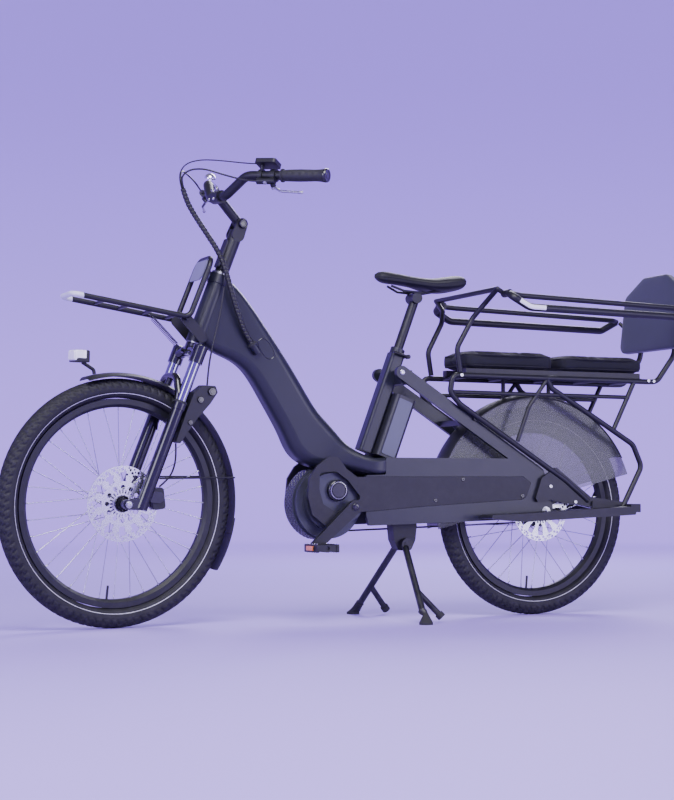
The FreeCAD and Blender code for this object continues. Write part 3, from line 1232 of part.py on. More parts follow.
def rear_axle():
    """Rear axle with a nut and washer on each side."""
    rod = bar(REAR - ACROSS * 98, REAR + ACROSS * 98, "$axle_radius$")
    made = [rod]
    face_y = z.stay_inner + z.stay_thickness + 0.2
    for side in SIDES:
        made.append(bar(REAR + ACROSS * side * face_y, REAR + ACROSS * side * (face_y + 2), 12))
        nut = doc.addObject("Part::Prism", "nut")
        bind(nut, Polygon=6, Circumradius=10.5, Height=8)
        start = REAR + ACROSS * side * (face_y + 2)
        nut.Placement = along(start, ACROSS * side)
        made.append(nut)
    finish("rear_axle", fuse(*made))


# ---------------------------------------------------------------- centre stand
def stand():
    """Bracket under the stays, and the two-leg stand with flared feet and short rear props."""
    inner = z.stay_inner
    bridge = block(Vector(388, -inner, 278), 84, "2 * $stay_inner$", 12)
    tongue = [(392, 279), (398, 226), (412, 196), (452, 196), (466, 226), (472, 279)]
    holder = plate("tongue", tongue, -z.stand_block, z.stand_block, 12)
    finish("stand_bracket", cut(fuse(bridge, holder), bar(STAND - ACROSS * 60, STAND + ACROSS * 60, 8.05)))

    parts = [bar(STAND - ACROSS * (z.stand_block + 18), STAND + ACROSS * (z.stand_block + 18), 8)]
    for side in SIDES:
        near = STAND + ACROSS * side * (z.stand_block + 0.4)
        parts.append(bar(near, near + ACROSS * side * 16, 17))
        knee = STAND + Vector(4, side * (z.stand_block + 11), -8)
        sole = Vector(476, side * z.foot_spread, 0)
        down = (sole - knee).normalize()
        ankle = sole - down * 44
        parts.append(bar(knee, ankle, "$stand_tube$"))
        fork_at = knee + (sole - knee) * 0.58
        prop_end = Vector(398, side * (z.foot_spread - 62), 17)
        parts.append(bar(fork_at, prop_end, "$stand_tube$ - 1"))
        run = (prop_end - fork_at).normalize()
        parts.append(bar(prop_end - run * 10, prop_end + run * 4, 12))
        top_wire = Part.Wire([Part.Circle(ankle - down * 6, down, 12).toShape()])
        low_wire = Part.Wire([Part.Circle(Vector(sole.x, sole.y, 6), Vector(0, 0, -1), 19).toShape()])
        flare = Part.makeLoft([top_wire, low_wire], True, True)
        parts.append(solid("foot", flare.fuse(Part.makeCylinder(19, 6, Vector(sole.x, sole.y, 0)))))
    finish("stand_legs", fuse(*parts))


# ---------------------------------------------------------------- build everything
wheels()
fork_lowers()
fork_uppers()
front_axle()
front_mudguard()
headlight()
brake_unit()
caliper("front_caliper", FRONT, z.front_rotor_radius, 39, 172, True, 14)
front_carrier()
steering_spring()
stem()
handlebar()
grips()
brakes_on_bar()
display()
bell()
hoses()
down_tube()
headset()
seat_tube()
seat_clamp_lever()
rear_stays()
drive_covers()
motor()
battery()
crankset()
rear_sprocket()
drive_belt()
pedal(LEFT, "pedal_left")
pedal(RIGHT, "pedal_right")
seat_post()
saddle()
rear_rack()
cushions()
hoops()
hand_rails()
backrest()
footboards()
rear_guards()
rear_axle()
caliper("rear_caliper", REAR, z.rear_rotor_radius, 49, 64, False, 15.6)
stand()

doc.recompute()
bad = [o.Label for o in doc.Objects if "Invalid" in o.State or "Error" in o.State]
for obj in finished:
    if obj.Shape.isNull() or not obj.Shape.isValid() or not obj.Shape.Solids:
        bad.append(obj.Label + " shape")
if bad:
    raise RuntimeError("failed objects: " + ", ".join(bad))
box = FreeCAD.BoundBox()
for obj in finished:
    box.add(obj.Shape.BoundBox)
    obj.Shape.exportStep(f"parts/{obj.Label}.step")
print(len(finished), "nodes, solids", sum(len(o.Shape.Solids) for o in finished), box)
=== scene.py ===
"""Looks of a longtail cargo bicycle around its CAD frame. Metres, +X forward, +Y left, +Z up."""
import json
import math

import bmesh
import bpy
import numpy as np
from bpy.props import FloatProperty, FloatVectorProperty, IntProperty
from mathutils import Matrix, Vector


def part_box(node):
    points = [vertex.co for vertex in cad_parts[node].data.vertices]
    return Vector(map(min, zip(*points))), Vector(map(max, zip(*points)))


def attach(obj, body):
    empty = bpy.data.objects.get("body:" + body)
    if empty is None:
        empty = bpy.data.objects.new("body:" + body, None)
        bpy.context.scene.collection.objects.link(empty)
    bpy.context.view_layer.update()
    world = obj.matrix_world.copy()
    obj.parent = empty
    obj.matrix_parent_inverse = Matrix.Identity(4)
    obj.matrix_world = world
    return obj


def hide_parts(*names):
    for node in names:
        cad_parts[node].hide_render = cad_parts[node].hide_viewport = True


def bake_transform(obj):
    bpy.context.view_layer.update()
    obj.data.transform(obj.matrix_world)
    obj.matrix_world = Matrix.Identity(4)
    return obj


bl_info = {
    "name": "Cargo bicycle looks",
    "version": (1, 0, 0),
    "blender": (4, 5, 0),
    "location": "View3D > Sidebar > Bicycle",
    "description": "Tyres, hoses, padding, trim, finishes and studio of a longtail cargo bicycle",
    "category": "Add Mesh",
}

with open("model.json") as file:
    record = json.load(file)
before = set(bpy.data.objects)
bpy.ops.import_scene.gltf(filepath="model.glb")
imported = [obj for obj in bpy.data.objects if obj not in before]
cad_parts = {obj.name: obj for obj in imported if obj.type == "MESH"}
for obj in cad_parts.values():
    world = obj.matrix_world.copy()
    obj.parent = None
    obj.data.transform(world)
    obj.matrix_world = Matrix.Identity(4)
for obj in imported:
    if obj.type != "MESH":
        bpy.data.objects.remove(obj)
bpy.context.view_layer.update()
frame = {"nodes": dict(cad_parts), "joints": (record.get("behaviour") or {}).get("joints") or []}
NODES = frame["nodes"]
JOINTS = {joint["name"]: joint for joint in frame["joints"]}

# ---------------------------------------------------------------- places, read from the frame
UP, LEFTWARD, FORWARD = np.array([0, 0, 1.0]), np.array([0, 1.0, 0]), np.array([1.0, 0, 0])
SIDES = (1, -1)


def joint_line(name):
    """Point on a joint's axis and the axis' direction."""
    joint = JOINTS[name]
    return np.array(joint.get("pos_m", (0, 0, 0)), float), np.array(joint["axis"], float)


FRONT_CENTRE, FRONT_AXLE = joint_line("front_wheel_spin")
REAR_CENTRE, REAR_AXLE = joint_line("rear_wheel_spin")
STEER_FOOT, STEER_UP = joint_line("steering")
STEER_FORE = np.array([STEER_UP[2], 0, -STEER_UP[0]])
STEM_PIVOT, STEM_AXIS = joint_line("stem_tilt")
CRANK = joint_line("crank_spin")[0]
REST_TURN = math.acos(FRONT_AXLE[1])


def corners(node):
    """Lowest and highest corner of a CAD node as arrays."""
    low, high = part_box(node)
    return np.array(low), np.array(high)


def from_rear(*point):
    """Place in the frame of a point measured from the ground under the rear axle."""
    return np.array(point, float) + [REAR_CENTRE[0], 0, 0]


def turned(points, axis, angle, centre=(0, 0, 0)):
    """Points turned about an axis through centre, by Rodrigues' formula."""
    axis = np.asarray(axis, float) / np.linalg.norm(axis)
    arm = np.asarray(points, float) - centre
    along = (arm @ axis)[..., None] * axis
    return centre + along + (arm - along) * math.cos(angle) + np.cross(axis, arm) * math.sin(angle)


def at_rest(points):
    """Points of the steered group, given with the bars straight ahead, at the resting turn."""
    return turned(points, STEER_UP, REST_TURN, STEER_FOOT)


def on_head(level, fore=0.0, side=0.0):
    """Point beside the steering axis, bars straight ahead."""
    return STEER_FOOT + STEER_UP * level + STEER_FORE * fore + LEFTWARD * side


# ---------------------------------------------------------------- surfaces on a grid
def unit(vectors):
    """Vectors at length one."""
    return vectors / np.linalg.norm(vectors, axis=-1, keepdims=True)


def across(axis):
    """Two directions square to an axis and to each other."""
    axis = unit(np.asarray(axis, float))
    helper = UP if abs(axis[2]) < 0.9 else FORWARD
    first = unit(np.cross(helper, axis))
    return first, np.cross(axis, first)


def shell(points, uv=None):
    """Vertices, quads and UVs of a grid (rows, columns, 3). Seam columns are repeated and merged later."""
    rows, cols = points.shape[:2]
    if uv is None:
        u, v = np.meshgrid(np.linspace(0, 1, cols), np.linspace(0, 1, rows))
        uv = np.stack([u, v], -1)
    i, j = np.meshgrid(np.arange(rows - 1), np.arange(cols - 1), indexing="ij")
    first = (i * cols + j).ravel()
    quads = np.stack([first, first + 1, first + cols + 1, first + cols], -1)
    return points.reshape(-1, 3), quads, uv.reshape(-1, 2)


def revolve(profile, centre, axis, count=48, wobble=None):
    """Profile of (radius, height) turned about an axis: p = centre + axis h + r (a cos t + b sin t)."""
    profile = np.asarray(profile, float)
    angle = np.linspace(0, 2 * math.pi, count + 1)
    first, second = across(axis)
    radius = np.repeat(profile[:, :1], count + 1, axis=1)
    if wobble is not None:
        radius = wobble(radius, angle)
    ring = np.cos(angle)[:, None] * first + np.sin(angle)[:, None] * second
    height = profile[:, 1][:, None, None] * unit(np.asarray(axis, float))
    return shell(np.asarray(centre) + height + radius[..., None] * ring)


def carried(path):
    """Directions square to a path at each station, carried along it with no twist."""
    tangent = unit(np.gradient(path, axis=0))
    normal = np.empty_like(path)
    normal[0] = across(tangent[0])[0]
    for i in range(1, len(path)):
        step = normal[i - 1] - tangent[i] * (normal[i - 1] @ tangent[i])
        normal[i] = step / np.linalg.norm(step)
    return tangent, normal, np.cross(tangent, normal)


def run_length(path):
    """Distance along a path at each station."""
    return np.r_[0, np.cumsum(np.linalg.norm(np.diff(path, axis=0), axis=1))]


def tube(path, radius, sides=12, ridge=None, closed=False):
    """Round section carried along a path, with ends closed. ridge(s, t) adds to the radius."""
    _, normal, other = carried(path)
    angle = np.linspace(0, 2 * math.pi, sides + 1)
    s = run_length(path)
    reach = np.broadcast_to(np.asarray(radius, float).reshape(-1, 1), (len(path), sides + 1)).copy()
    if ridge is not None:
        reach = reach + ridge(s[:, None], angle[None, :])
    ring = np.cos(angle)[None, :, None] * normal[:, None] + np.sin(angle)[None, :, None] * other[:, None]
    points = path[:, None] + reach[..., None] * ring
    uv = np.stack(np.broadcast_arrays(angle[None, :] / (2 * math.pi), s[:, None]), -1)
    if closed:
        return shell(points, uv)
    ends = [np.repeat(path[k][None, None], sides + 1, axis=1) for k in (0, -1)]
    return shell(np.concatenate([ends[0], points, ends[1]]), np.concatenate([uv[:1], uv, uv[-1:]]))


def line(start, end, count=2):
    """Straight path."""
    t = np.linspace(0, 1, count)[:, None]
    return np.asarray(start) * (1 - t) + np.asarray(end) * t


def bent_path(points, radii, step=0.003):
    """Straight runs through points with a tangent arc at each inner point, as the bent tubes have."""
    points = [np.asarray(p, float) for p in points]
    made = [points[0][None]]
    for before, corner, after, radius in zip(points, points[1:], points[2:], radii):
        back, ahead = unit(before - corner), unit(after - corner)
        half = (math.pi - math.acos(np.clip(back @ ahead, -1, 1))) / 2
        middle = corner + unit(back + ahead) * radius / math.cos(half)
        x = -unit(back + ahead)
        y = unit(ahead - back)
        sweep = np.linspace(-half, half, max(4, int(2 * half * radius / step)))[:, None]
        made.append(middle + radius * (x * np.cos(sweep) + y * np.sin(sweep)))
    made.append(points[-1][None])
    rough = np.concatenate(made)
    s = run_length(rough)
    even = np.linspace(0, s[-1], max(8, int(s[-1] / step)))
    return np.stack([np.interp(even, s, rough[:, k]) for k in range(3)], -1)


def smooth_line(points, resolution=14):
    """Stations along the NURBS line that a cord's route controls."""
    curve = bpy.data.curves.new("route", "CURVE")
    curve.dimensions = "3D"
    spline = curve.splines.new("NURBS")
    spline.points.add(len(points) - 1)
    spline.points.foreach_set("co", np.c_[points, np.ones(len(points))].ravel())
    spline.order_u = 3
    spline.use_endpoint_u = True
    curve.resolution_u = resolution
    spline.resolution_u = resolution
    holder = bpy.data.objects.new("route", curve)
    mesh = bpy.data.meshes.new_from_object(holder)
    stations = np.empty(len(mesh.vertices) * 3)
    mesh.vertices.foreach_get("co", stations)
    bpy.data.objects.remove(holder)
    bpy.data.curves.remove(curve)
    bpy.data.meshes.remove(mesh)
    return stations.reshape(-1, 3)


def resampled(path, count):
    """Path with evenly spaced stations."""
    s = run_length(path)
    even = np.linspace(0, s[-1], count)
    return np.stack([np.interp(even, s, path[:, k]) for k in range(3)], -1)


def power(value, exponent):
    """Signed power, for superellipses."""
    return np.sign(value) * np.abs(value) ** exponent


def rounded_box(centre, half, axes=(FORWARD, LEFTWARD, UP), flat=0.35, rows=24, cols=40):
    """Superellipsoid: each axis' half size times signed powers of cos and sin of two angles."""
    v, u = np.meshgrid(np.linspace(-math.pi / 2, math.pi / 2, rows), np.linspace(-math.pi, math.pi, cols + 1),
                       indexing="ij")
    local = np.stack([power(np.cos(v), flat) * power(np.cos(u), flat),
                      power(np.cos(v), flat) * power(np.sin(u), flat), power(np.sin(v), flat)], -1)
    local[0, :, :2] = 0
    local[-1, :, :2] = 0
    return shell(np.asarray(centre) + (local * half) @ np.array(axes))


def pillow(outline, centre, side, up, normal, thickness, edge=0.25, crown=0.0, rings=9):
    """Outline swept inward on both faces: height = thickness/2 (1 - s^k)^(1/k) + crown, k = 2 / edge."""
    outline = np.asarray(outline, float)
    outline = np.concatenate([outline, outline[:1]])
    turn = np.linspace(0, math.pi, 2 * rings + 1)
    inset = np.sin(turn) ** edge
    inset[[0, -1]] = 0
    rise = power(np.cos(turn), edge) * thickness / 2
    rise = rise + np.where(rise > 0, crown, -crown) * (1 - inset ** 2)
    flat = outline[None] * inset[:, None, None]
    height = np.broadcast_to(rise[:, None], flat.shape[:2])
    points = centre + flat[..., :1] * side + flat[..., 1:] * up + height[..., None] * normal
    uv = flat.copy()
    return shell(points, uv)


def rounded_outline(width, depth, corner, count=8):
    """Rectangle with round corners, as points round its middle."""
    made = []
    for k, (sx, sy) in enumerate(((1, 1), (-1, 1), (-1, -1), (1, -1))):
        angle = np.linspace(0, math.pi / 2, count) + k * math.pi / 2
        middle = np.array([sx * (width / 2 - corner), sy * (depth / 2 - corner)])
        made.append(middle + corner * np.stack([np.cos(angle), np.sin(angle)], -1))
    return np.concatenate(made)


def hermite(at, knots, values):
    """Smooth curve through a few values, by cubic Hermite pieces with finite-difference slopes."""
    knots, values = np.asarray(knots, float), np.asarray(values, float)
    slopes = np.gradient(values, knots)
    i = np.clip(np.searchsorted(knots, at) - 1, 0, len(knots) - 2)
    span = knots[i + 1] - knots[i]
    t = (at - knots[i]) / span
    return ((2 * t ** 3 - 3 * t ** 2 + 1) * values[i] + (t ** 3 - 2 * t ** 2 + t) * span * slopes[i]
            + (3 * t ** 2 - 2 * t ** 3) * values[i + 1] + (t ** 3 - t ** 2) * span * slopes[i + 1])


def bolt(at, axis, radius=0.005, height=0.003, socket=0.5):
    """Round screw head with a chamfer and a hexagon socket of radius a / cos(angle from a flat)."""
    a = radius * socket
    profile = [(0, height * 0.35), (a * 0.98, height * 0.35), (a, height), (radius * 0.86, height),
               (radius, height * 0.72), (radius, 0), (0, 0)]

    def hexagon(reach, angle):
        """Reach of the socket's floor and rim, longest at the six corners."""
        flat = 1 / np.cos((angle % (math.pi / 3)) - math.pi / 6) * 0.9
        reach = reach.copy()
        reach[1:3] = reach[1:3] * flat
        return reach

    return revolve(profile, at, axis, 24, hexagon)


# ---------------------------------------------------------------- pieces
def joined(shells):
    """Vertices, quads and UVs of several shells together."""
    offsets = np.cumsum([0] + [len(points) for points, _, _ in shells[:-1]])
    return (np.concatenate([s[0] for s in shells]),
            np.concatenate([s[1] + k for s, k in zip(shells, offsets)]),
            np.concatenate([s[2] for s in shells]))


def build_mesh(name, shells, crease=40.0):
    """Mesh of shells with merged seams and poles, outward faces and sharp edges above a crease angle."""
    points, quads, uv = joined(shells)
    mesh = bpy.data.meshes.new(name)
    mesh.from_pydata(points.tolist(), [], quads.tolist())
    layer = mesh.uv_layers.new(name="surface")
    layer.data.foreach_set("uv", uv[quads.ravel()].astype(np.float32).ravel())
    solid = bmesh.new()
    solid.from_mesh(mesh)
    bmesh.ops.remove_doubles(solid, verts=solid.verts, dist=2e-6)
    bmesh.ops.dissolve_degenerate(solid, edges=solid.edges, dist=1e-7)
    bmesh.ops.recalc_face_normals(solid, faces=solid.faces)
    solid.to_mesh(mesh)
    solid.free()
    mesh.polygons.foreach_set("use_smooth", np.ones(len(mesh.polygons), bool))
    mesh.set_sharp_from_angle(angle=math.radians(crease))
    return mesh


def piece(name, shells, body, material, replaces=(), crease=40.0):
    """Finished piece that rides on a body."""
    made = bpy.data.objects.new(name, build_mesh(name, shells, crease))
    bpy.context.scene.collection.objects.link(made)
    made.data.materials.append(material)
    if body:
        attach(made, body)
    if replaces:
        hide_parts(*replaces)
    return made


# ---------------------------------------------------------------- settings
def length(label, text, default, low=0.0, high=1.0):
    """Length property in metres."""
    return FloatProperty(name=label, description=text, default=default, min=low, max=high, subtype="DISTANCE",
                         unit="LENGTH", precision=4)


def colour(label, text, default):
    """Colour property."""
    return FloatVectorProperty(name=label, description=text, default=default, subtype="COLOR", size=3,
                               min=0, max=1)


class WheelSettings(bpy.types.PropertyGroup):
    """Sizes of the tyres and the pieces on the rims."""
    section: length("Section radius", "Half the width of the tyre", 0.0285)
    wall: length("Wall", "Thickness of the tyre", 0.003)
    bead: length("Bead half width", "Half the gap between the beads", 0.012)
    tread: length("Tread depth", "Depth of the grooves between the blocks", 0.0032)
    blocks: IntProperty(name="Blocks", description="Tread blocks round the tyre", default=90, min=20, max=200)
    nipples: IntProperty(name="Nipples", description="Spoke nipples on each rim", default=36, min=12, max=48)


class TrimSettings(bpy.types.PropertyGroup):
    """Sizes of coil, hoses and fittings."""
    coil_radius: length("Coil radius", "Mean radius of the steering spring", 0.0061)
    coil_wire: length("Coil wire", "Radius of the spring wire", 0.0011)
    coil_turns: IntProperty(name="Coil turns", description="Turns of the steering spring", default=26,
                            min=8, max=60)
    hose: length("Hose radius", "Radius of the brake hoses", 0.0025)
    wrap: length("Wrap radius", "Radius of the wrapped bundle", 0.0075)
    wrap_pitch: length("Wrap pitch", "Advance of the spiral wrap in one turn", 0.011)
    grip: length("Grip radius", "Radius of the rubber grips", 0.0165)


class PaddingSettings(bpy.types.PropertyGroup):
    """Sizes of the sewn and moulded padding."""
    shrink: length("Start inset", "How much smaller a cushion starts before it swells", 0.006)
    cap: length("Swell cap", "Furthest a point of a cushion may move", 0.009)
    voxel: length("Voxel", "Cell of the remeshed cushion", 0.005, 0.003, 0.02)
    pressure: FloatProperty(name="Pressure", description="Air pressure in the cushions", default=4.0, min=0,
                            max=20)
    piping: length("Piping radius", "Radius of the sewn edge cord", 0.0019)
    channel: length("Channel depth", "Depth of the sewn lines", 0.003)


class FinishSettings(bpy.types.PropertyGroup):
    """Colours of the finishes."""
    frame: colour("Frame paint", "Matt paint of the beam and the stays", (0.0085, 0.0098, 0.0165))
    black: colour("Black coat", "Powder coat of tubes and fittings", (0.0045, 0.0048, 0.0075))
    tyre: colour("Tyre", "Rubber of the tyres", (0.0065, 0.0065, 0.0085))
    line: colour("Side line", "Pale reflective line on the tyres", (0.62, 0.63, 0.65))
    fabric: colour("Fabric", "Woven cover of the cushions", (0.0045, 0.0048, 0.007))
    pad: colour("Backrest", "Moulded foam of the backrest", (0.024, 0.027, 0.043))
    panel: colour("Battery panel", "Side panels of the battery", (0.075, 0.08, 0.125))
    pale: colour("Pale trim", "Nose of the carrier", (0.66, 0.67, 0.74))
    amber: colour("Amber", "Pedal reflectors", (0.85, 0.22, 0.012))


class StudioSettings(bpy.types.PropertyGroup):
    """Floor, light and camera."""
    floor: colour("Floor", "Plain pale floor", (0.42, 0.30, 0.80))
    glow: colour("Backdrop glow", "Light of the far backdrop", (0.46, 0.30, 0.90))
    radius: length("Flat radius", "Radius of the flat floor", 8.0, 2.0, 30.0)
    key: FloatProperty(name="Key power", description="Power of the large soft light", default=300,
                       unit="POWER")
    lens: FloatProperty(name="Lens", description="Focal length", default=81.36, min=20, max=200,
                        unit="CAMERA")


# ---------------------------------------------------------------- shader helpers
def add(tree, kind, inputs=None, **settings):
    """Node with its settings, inputs linked or set."""
    node = tree.nodes.new(kind)
    for key, value in settings.items():
        setattr(node, key, value)
    for key, value in (inputs or {}).items():
        if isinstance(value, bpy.types.NodeSocket):
            tree.links.new(value, node.inputs[key])
        else:
            node.inputs[key].default_value = value
    return node


def calc(tree, operation, *values, clamp=False):
    """Math node's result."""
    return add(tree, "ShaderNodeMath", dict(enumerate(values)), operation=operation,
               use_clamp=clamp).outputs[0]


def vector_calc(tree, operation, *values, output=0):
    """Vector math node's result."""
    node = add(tree, "ShaderNodeVectorMath", dict(enumerate(values)), operation=operation)
    return node.outputs[output]


def blend_colour(tree, factor, first, second):
    """Colour mixed by a mask."""
    node = add(tree, "ShaderNodeMix", data_type="RGBA")
    for socket, value in ((node.inputs[0], factor), (node.inputs[6], first), (node.inputs[7], second)):
        if isinstance(value, bpy.types.NodeSocket):
            tree.links.new(value, socket)
        else:
            socket.default_value = value if isinstance(value, float) else (*value[:3], 1.0)
    return node.outputs[2]


def blend_value(tree, factor, first, second):
    """Value mixed by a mask."""
    return add(tree, "ShaderNodeMix", {0: factor, 2: first, 3: second}, data_type="FLOAT").outputs[0]


def new_group(name, inputs, outputs):
    """Shader node group with named sockets."""
    tree = bpy.data.node_groups.new(name, "ShaderNodeTree")
    for label, kind, default in inputs:
        socket = tree.interface.new_socket(name=label, in_out="INPUT", socket_type=kind)
        if default is not None:
            socket.default_value = default
    for label, kind in outputs:
        tree.interface.new_socket(name=label, in_out="OUTPUT", socket_type=kind)
    return tree, add(tree, "NodeGroupInput"), add(tree, "NodeGroupOutput")


FLOAT, COLOUR, VECTOR = "NodeSocketFloat", "NodeSocketColor", "NodeSocketVector"


def tone_group():
    """Uneven tone: a soft noise lightens and darkens a colour, and a finer one shifts its roughness."""
    tree, given, out = new_group("uneven_tone", [
        ("Vector", VECTOR, None), ("Color", COLOUR, None), ("Spread", FLOAT, 0.2), ("Scale", FLOAT, 6.0),
        ("Roughness", FLOAT, 0.5), ("Rub", FLOAT, 0.1)], [("Color", COLOUR), ("Roughness", FLOAT)])
    g = given.outputs
    broad = add(tree, "ShaderNodeTexNoise", {"Vector": g["Vector"], "Scale": g["Scale"], "Detail": 4.0})
    fine_scale = calc(tree, "MULTIPLY", g["Scale"], 7.0)
    fine = add(tree, "ShaderNodeTexNoise", {"Vector": g["Vector"], "Scale": fine_scale, "Detail": 6.0,
                                            "Roughness": 0.62})
    both = calc(tree, "ADD", calc(tree, "MULTIPLY", broad.outputs[0], 0.65),
                calc(tree, "MULTIPLY", fine.outputs[0], 0.35))
    swing = calc(tree, "MULTIPLY", calc(tree, "SUBTRACT", both, 0.5), g["Spread"])
    lift = calc(tree, "ADD", calc(tree, "MULTIPLY", swing, 3.0), 1.0)
    toned = add(tree, "ShaderNodeVectorMath", {0: g["Color"]}, operation="SCALE")
    tree.links.new(lift, toned.inputs["Scale"])
    rough = calc(tree, "ADD", g["Roughness"],
                 calc(tree, "MULTIPLY", calc(tree, "SUBTRACT", fine.outputs[0], 0.5), g["Rub"]), clamp=True)
    tree.links.new(toned.outputs[0], out.inputs["Color"])
    tree.links.new(rough, out.inputs["Roughness"])
    return tree


def grain_group():
    """Moulded or coated grain: fine cells and noise added to one height."""
    tree, given, out = new_group("fine_grain", [("Vector", VECTOR, None), ("Scale", FLOAT, 900.0),
                                                ("Cells", FLOAT, 0.5)], [("Height", FLOAT)])
    g = given.outputs
    cells = add(tree, "ShaderNodeTexVoronoi", {"Vector": g["Vector"], "Scale": g["Scale"]})
    noise = add(tree, "ShaderNodeTexNoise", {"Vector": g["Vector"], "Scale": g["Scale"], "Detail": 2.0})
    mixed = blend_value(tree, g["Cells"], noise.outputs[0], cells.outputs["Distance"])
    tree.links.new(mixed, out.inputs["Height"])
    return tree


def weave_group():
    """Woven cloth: threads over and under, height = sin u sin v, with a tone that follows it. The tone is
    painted shade: lighter on the raised threads and darker in the dips between them, mixed with random fuzz.
    """
    tree, given, out = new_group("woven_cloth", [("Vector", VECTOR, None), ("Scale", FLOAT, 2200.0)],
                                 [("Height", FLOAT), ("Tone", FLOAT)])
    g = given.outputs
    parts = add(tree, "ShaderNodeSeparateXYZ", {0: g["Vector"]})
    x, y, height = parts.outputs
    u = calc(tree, "MULTIPLY", calc(tree, "ADD", x, calc(tree, "MULTIPLY", height, 0.83)), g["Scale"])
    v = calc(tree, "MULTIPLY", calc(tree, "ADD", y, calc(tree, "MULTIPLY", height, 0.61)), g["Scale"])
    cross = calc(tree, "MULTIPLY", calc(tree, "SINE", u), calc(tree, "SINE", v))
    fuzz = add(tree, "ShaderNodeTexNoise", {"Vector": g["Vector"], "Scale": 420.0, "Detail": 3.0})
    woven = calc(tree, "ADD", calc(tree, "MULTIPLY", cross, 0.5),
                 calc(tree, "MULTIPLY", fuzz.outputs[0], 0.6))
    tree.links.new(woven, out.inputs["Height"])
    # Tone output: painted shade, lighter on raised threads and darker in the weave's dips, with random fuzz
    tree.links.new(calc(tree, "ADD", calc(tree, "MULTIPLY", woven, 0.35), 0.5, clamp=True),
                   out.inputs["Tone"])
    return tree


def lathe_group():
    """Turned or ground metal: fine rings about an axle, from a noise of the distance to it."""
    tree, given, out = new_group("turned_rings", [("Vector", VECTOR, None), ("Centre", VECTOR, None),
                                                  ("Axle", VECTOR, None), ("Scale", FLOAT, 900.0)],
                                 [("Height", FLOAT), ("Distance", FLOAT)])
    g = given.outputs
    arm = vector_calc(tree, "SUBTRACT", g["Vector"], g["Centre"])
    reach = vector_calc(tree, "LENGTH", vector_calc(tree, "CROSS_PRODUCT", arm, g["Axle"]), output=1)
    rings = add(tree, "ShaderNodeTexNoise", noise_dimensions="1D")
    tree.links.new(calc(tree, "MULTIPLY", reach, g["Scale"]), rings.inputs["W"])
    rings.inputs["Scale"].default_value = 1.0
    rings.inputs["Detail"].default_value = 3.0
    tree.links.new(rings.outputs[0], out.inputs["Height"])
    tree.links.new(reach, out.inputs["Distance"])
    return tree


def dust_group():
    """Road dust: a patchy mask that fades with height above the ground."""
    tree, given, out = new_group("road_dust", [("Vector", VECTOR, None), ("Amount", FLOAT, 0.3),
                                               ("Top", FLOAT, 0.5)], [("Mask", FLOAT)])
    g = given.outputs
    height = add(tree, "ShaderNodeSeparateXYZ", {0: g["Vector"]}).outputs[2]
    fade = calc(tree, "SUBTRACT", 1.0, calc(tree, "DIVIDE", height, g["Top"]), clamp=True)
    patches = add(tree, "ShaderNodeTexNoise", {"Vector": g["Vector"], "Scale": 38.0, "Detail": 8.0,
                                               "Roughness": 0.7})
    patchy = calc(tree, "MULTIPLY", calc(tree, "SUBTRACT", patches.outputs[0], 0.42), 3.0, clamp=True)
    tree.links.new(calc(tree, "MULTIPLY", calc(tree, "MULTIPLY", fade, patchy), g["Amount"]),
                   out.inputs["Mask"])
    return tree


GROUPS = {}
FINISHES = {}
DUST = (0.2, 0.19, 0.2)


def grouped(tree, name, inputs):
    """One of the shared effects, placed in a material."""
    node = add(tree, "ShaderNodeGroup")
    node.node_tree = GROUPS[name]
    for key, value in inputs.items():
        if isinstance(value, bpy.types.NodeSocket):
            tree.links.new(value, node.inputs[key])
        else:
            node.inputs[key].default_value = value
    return node


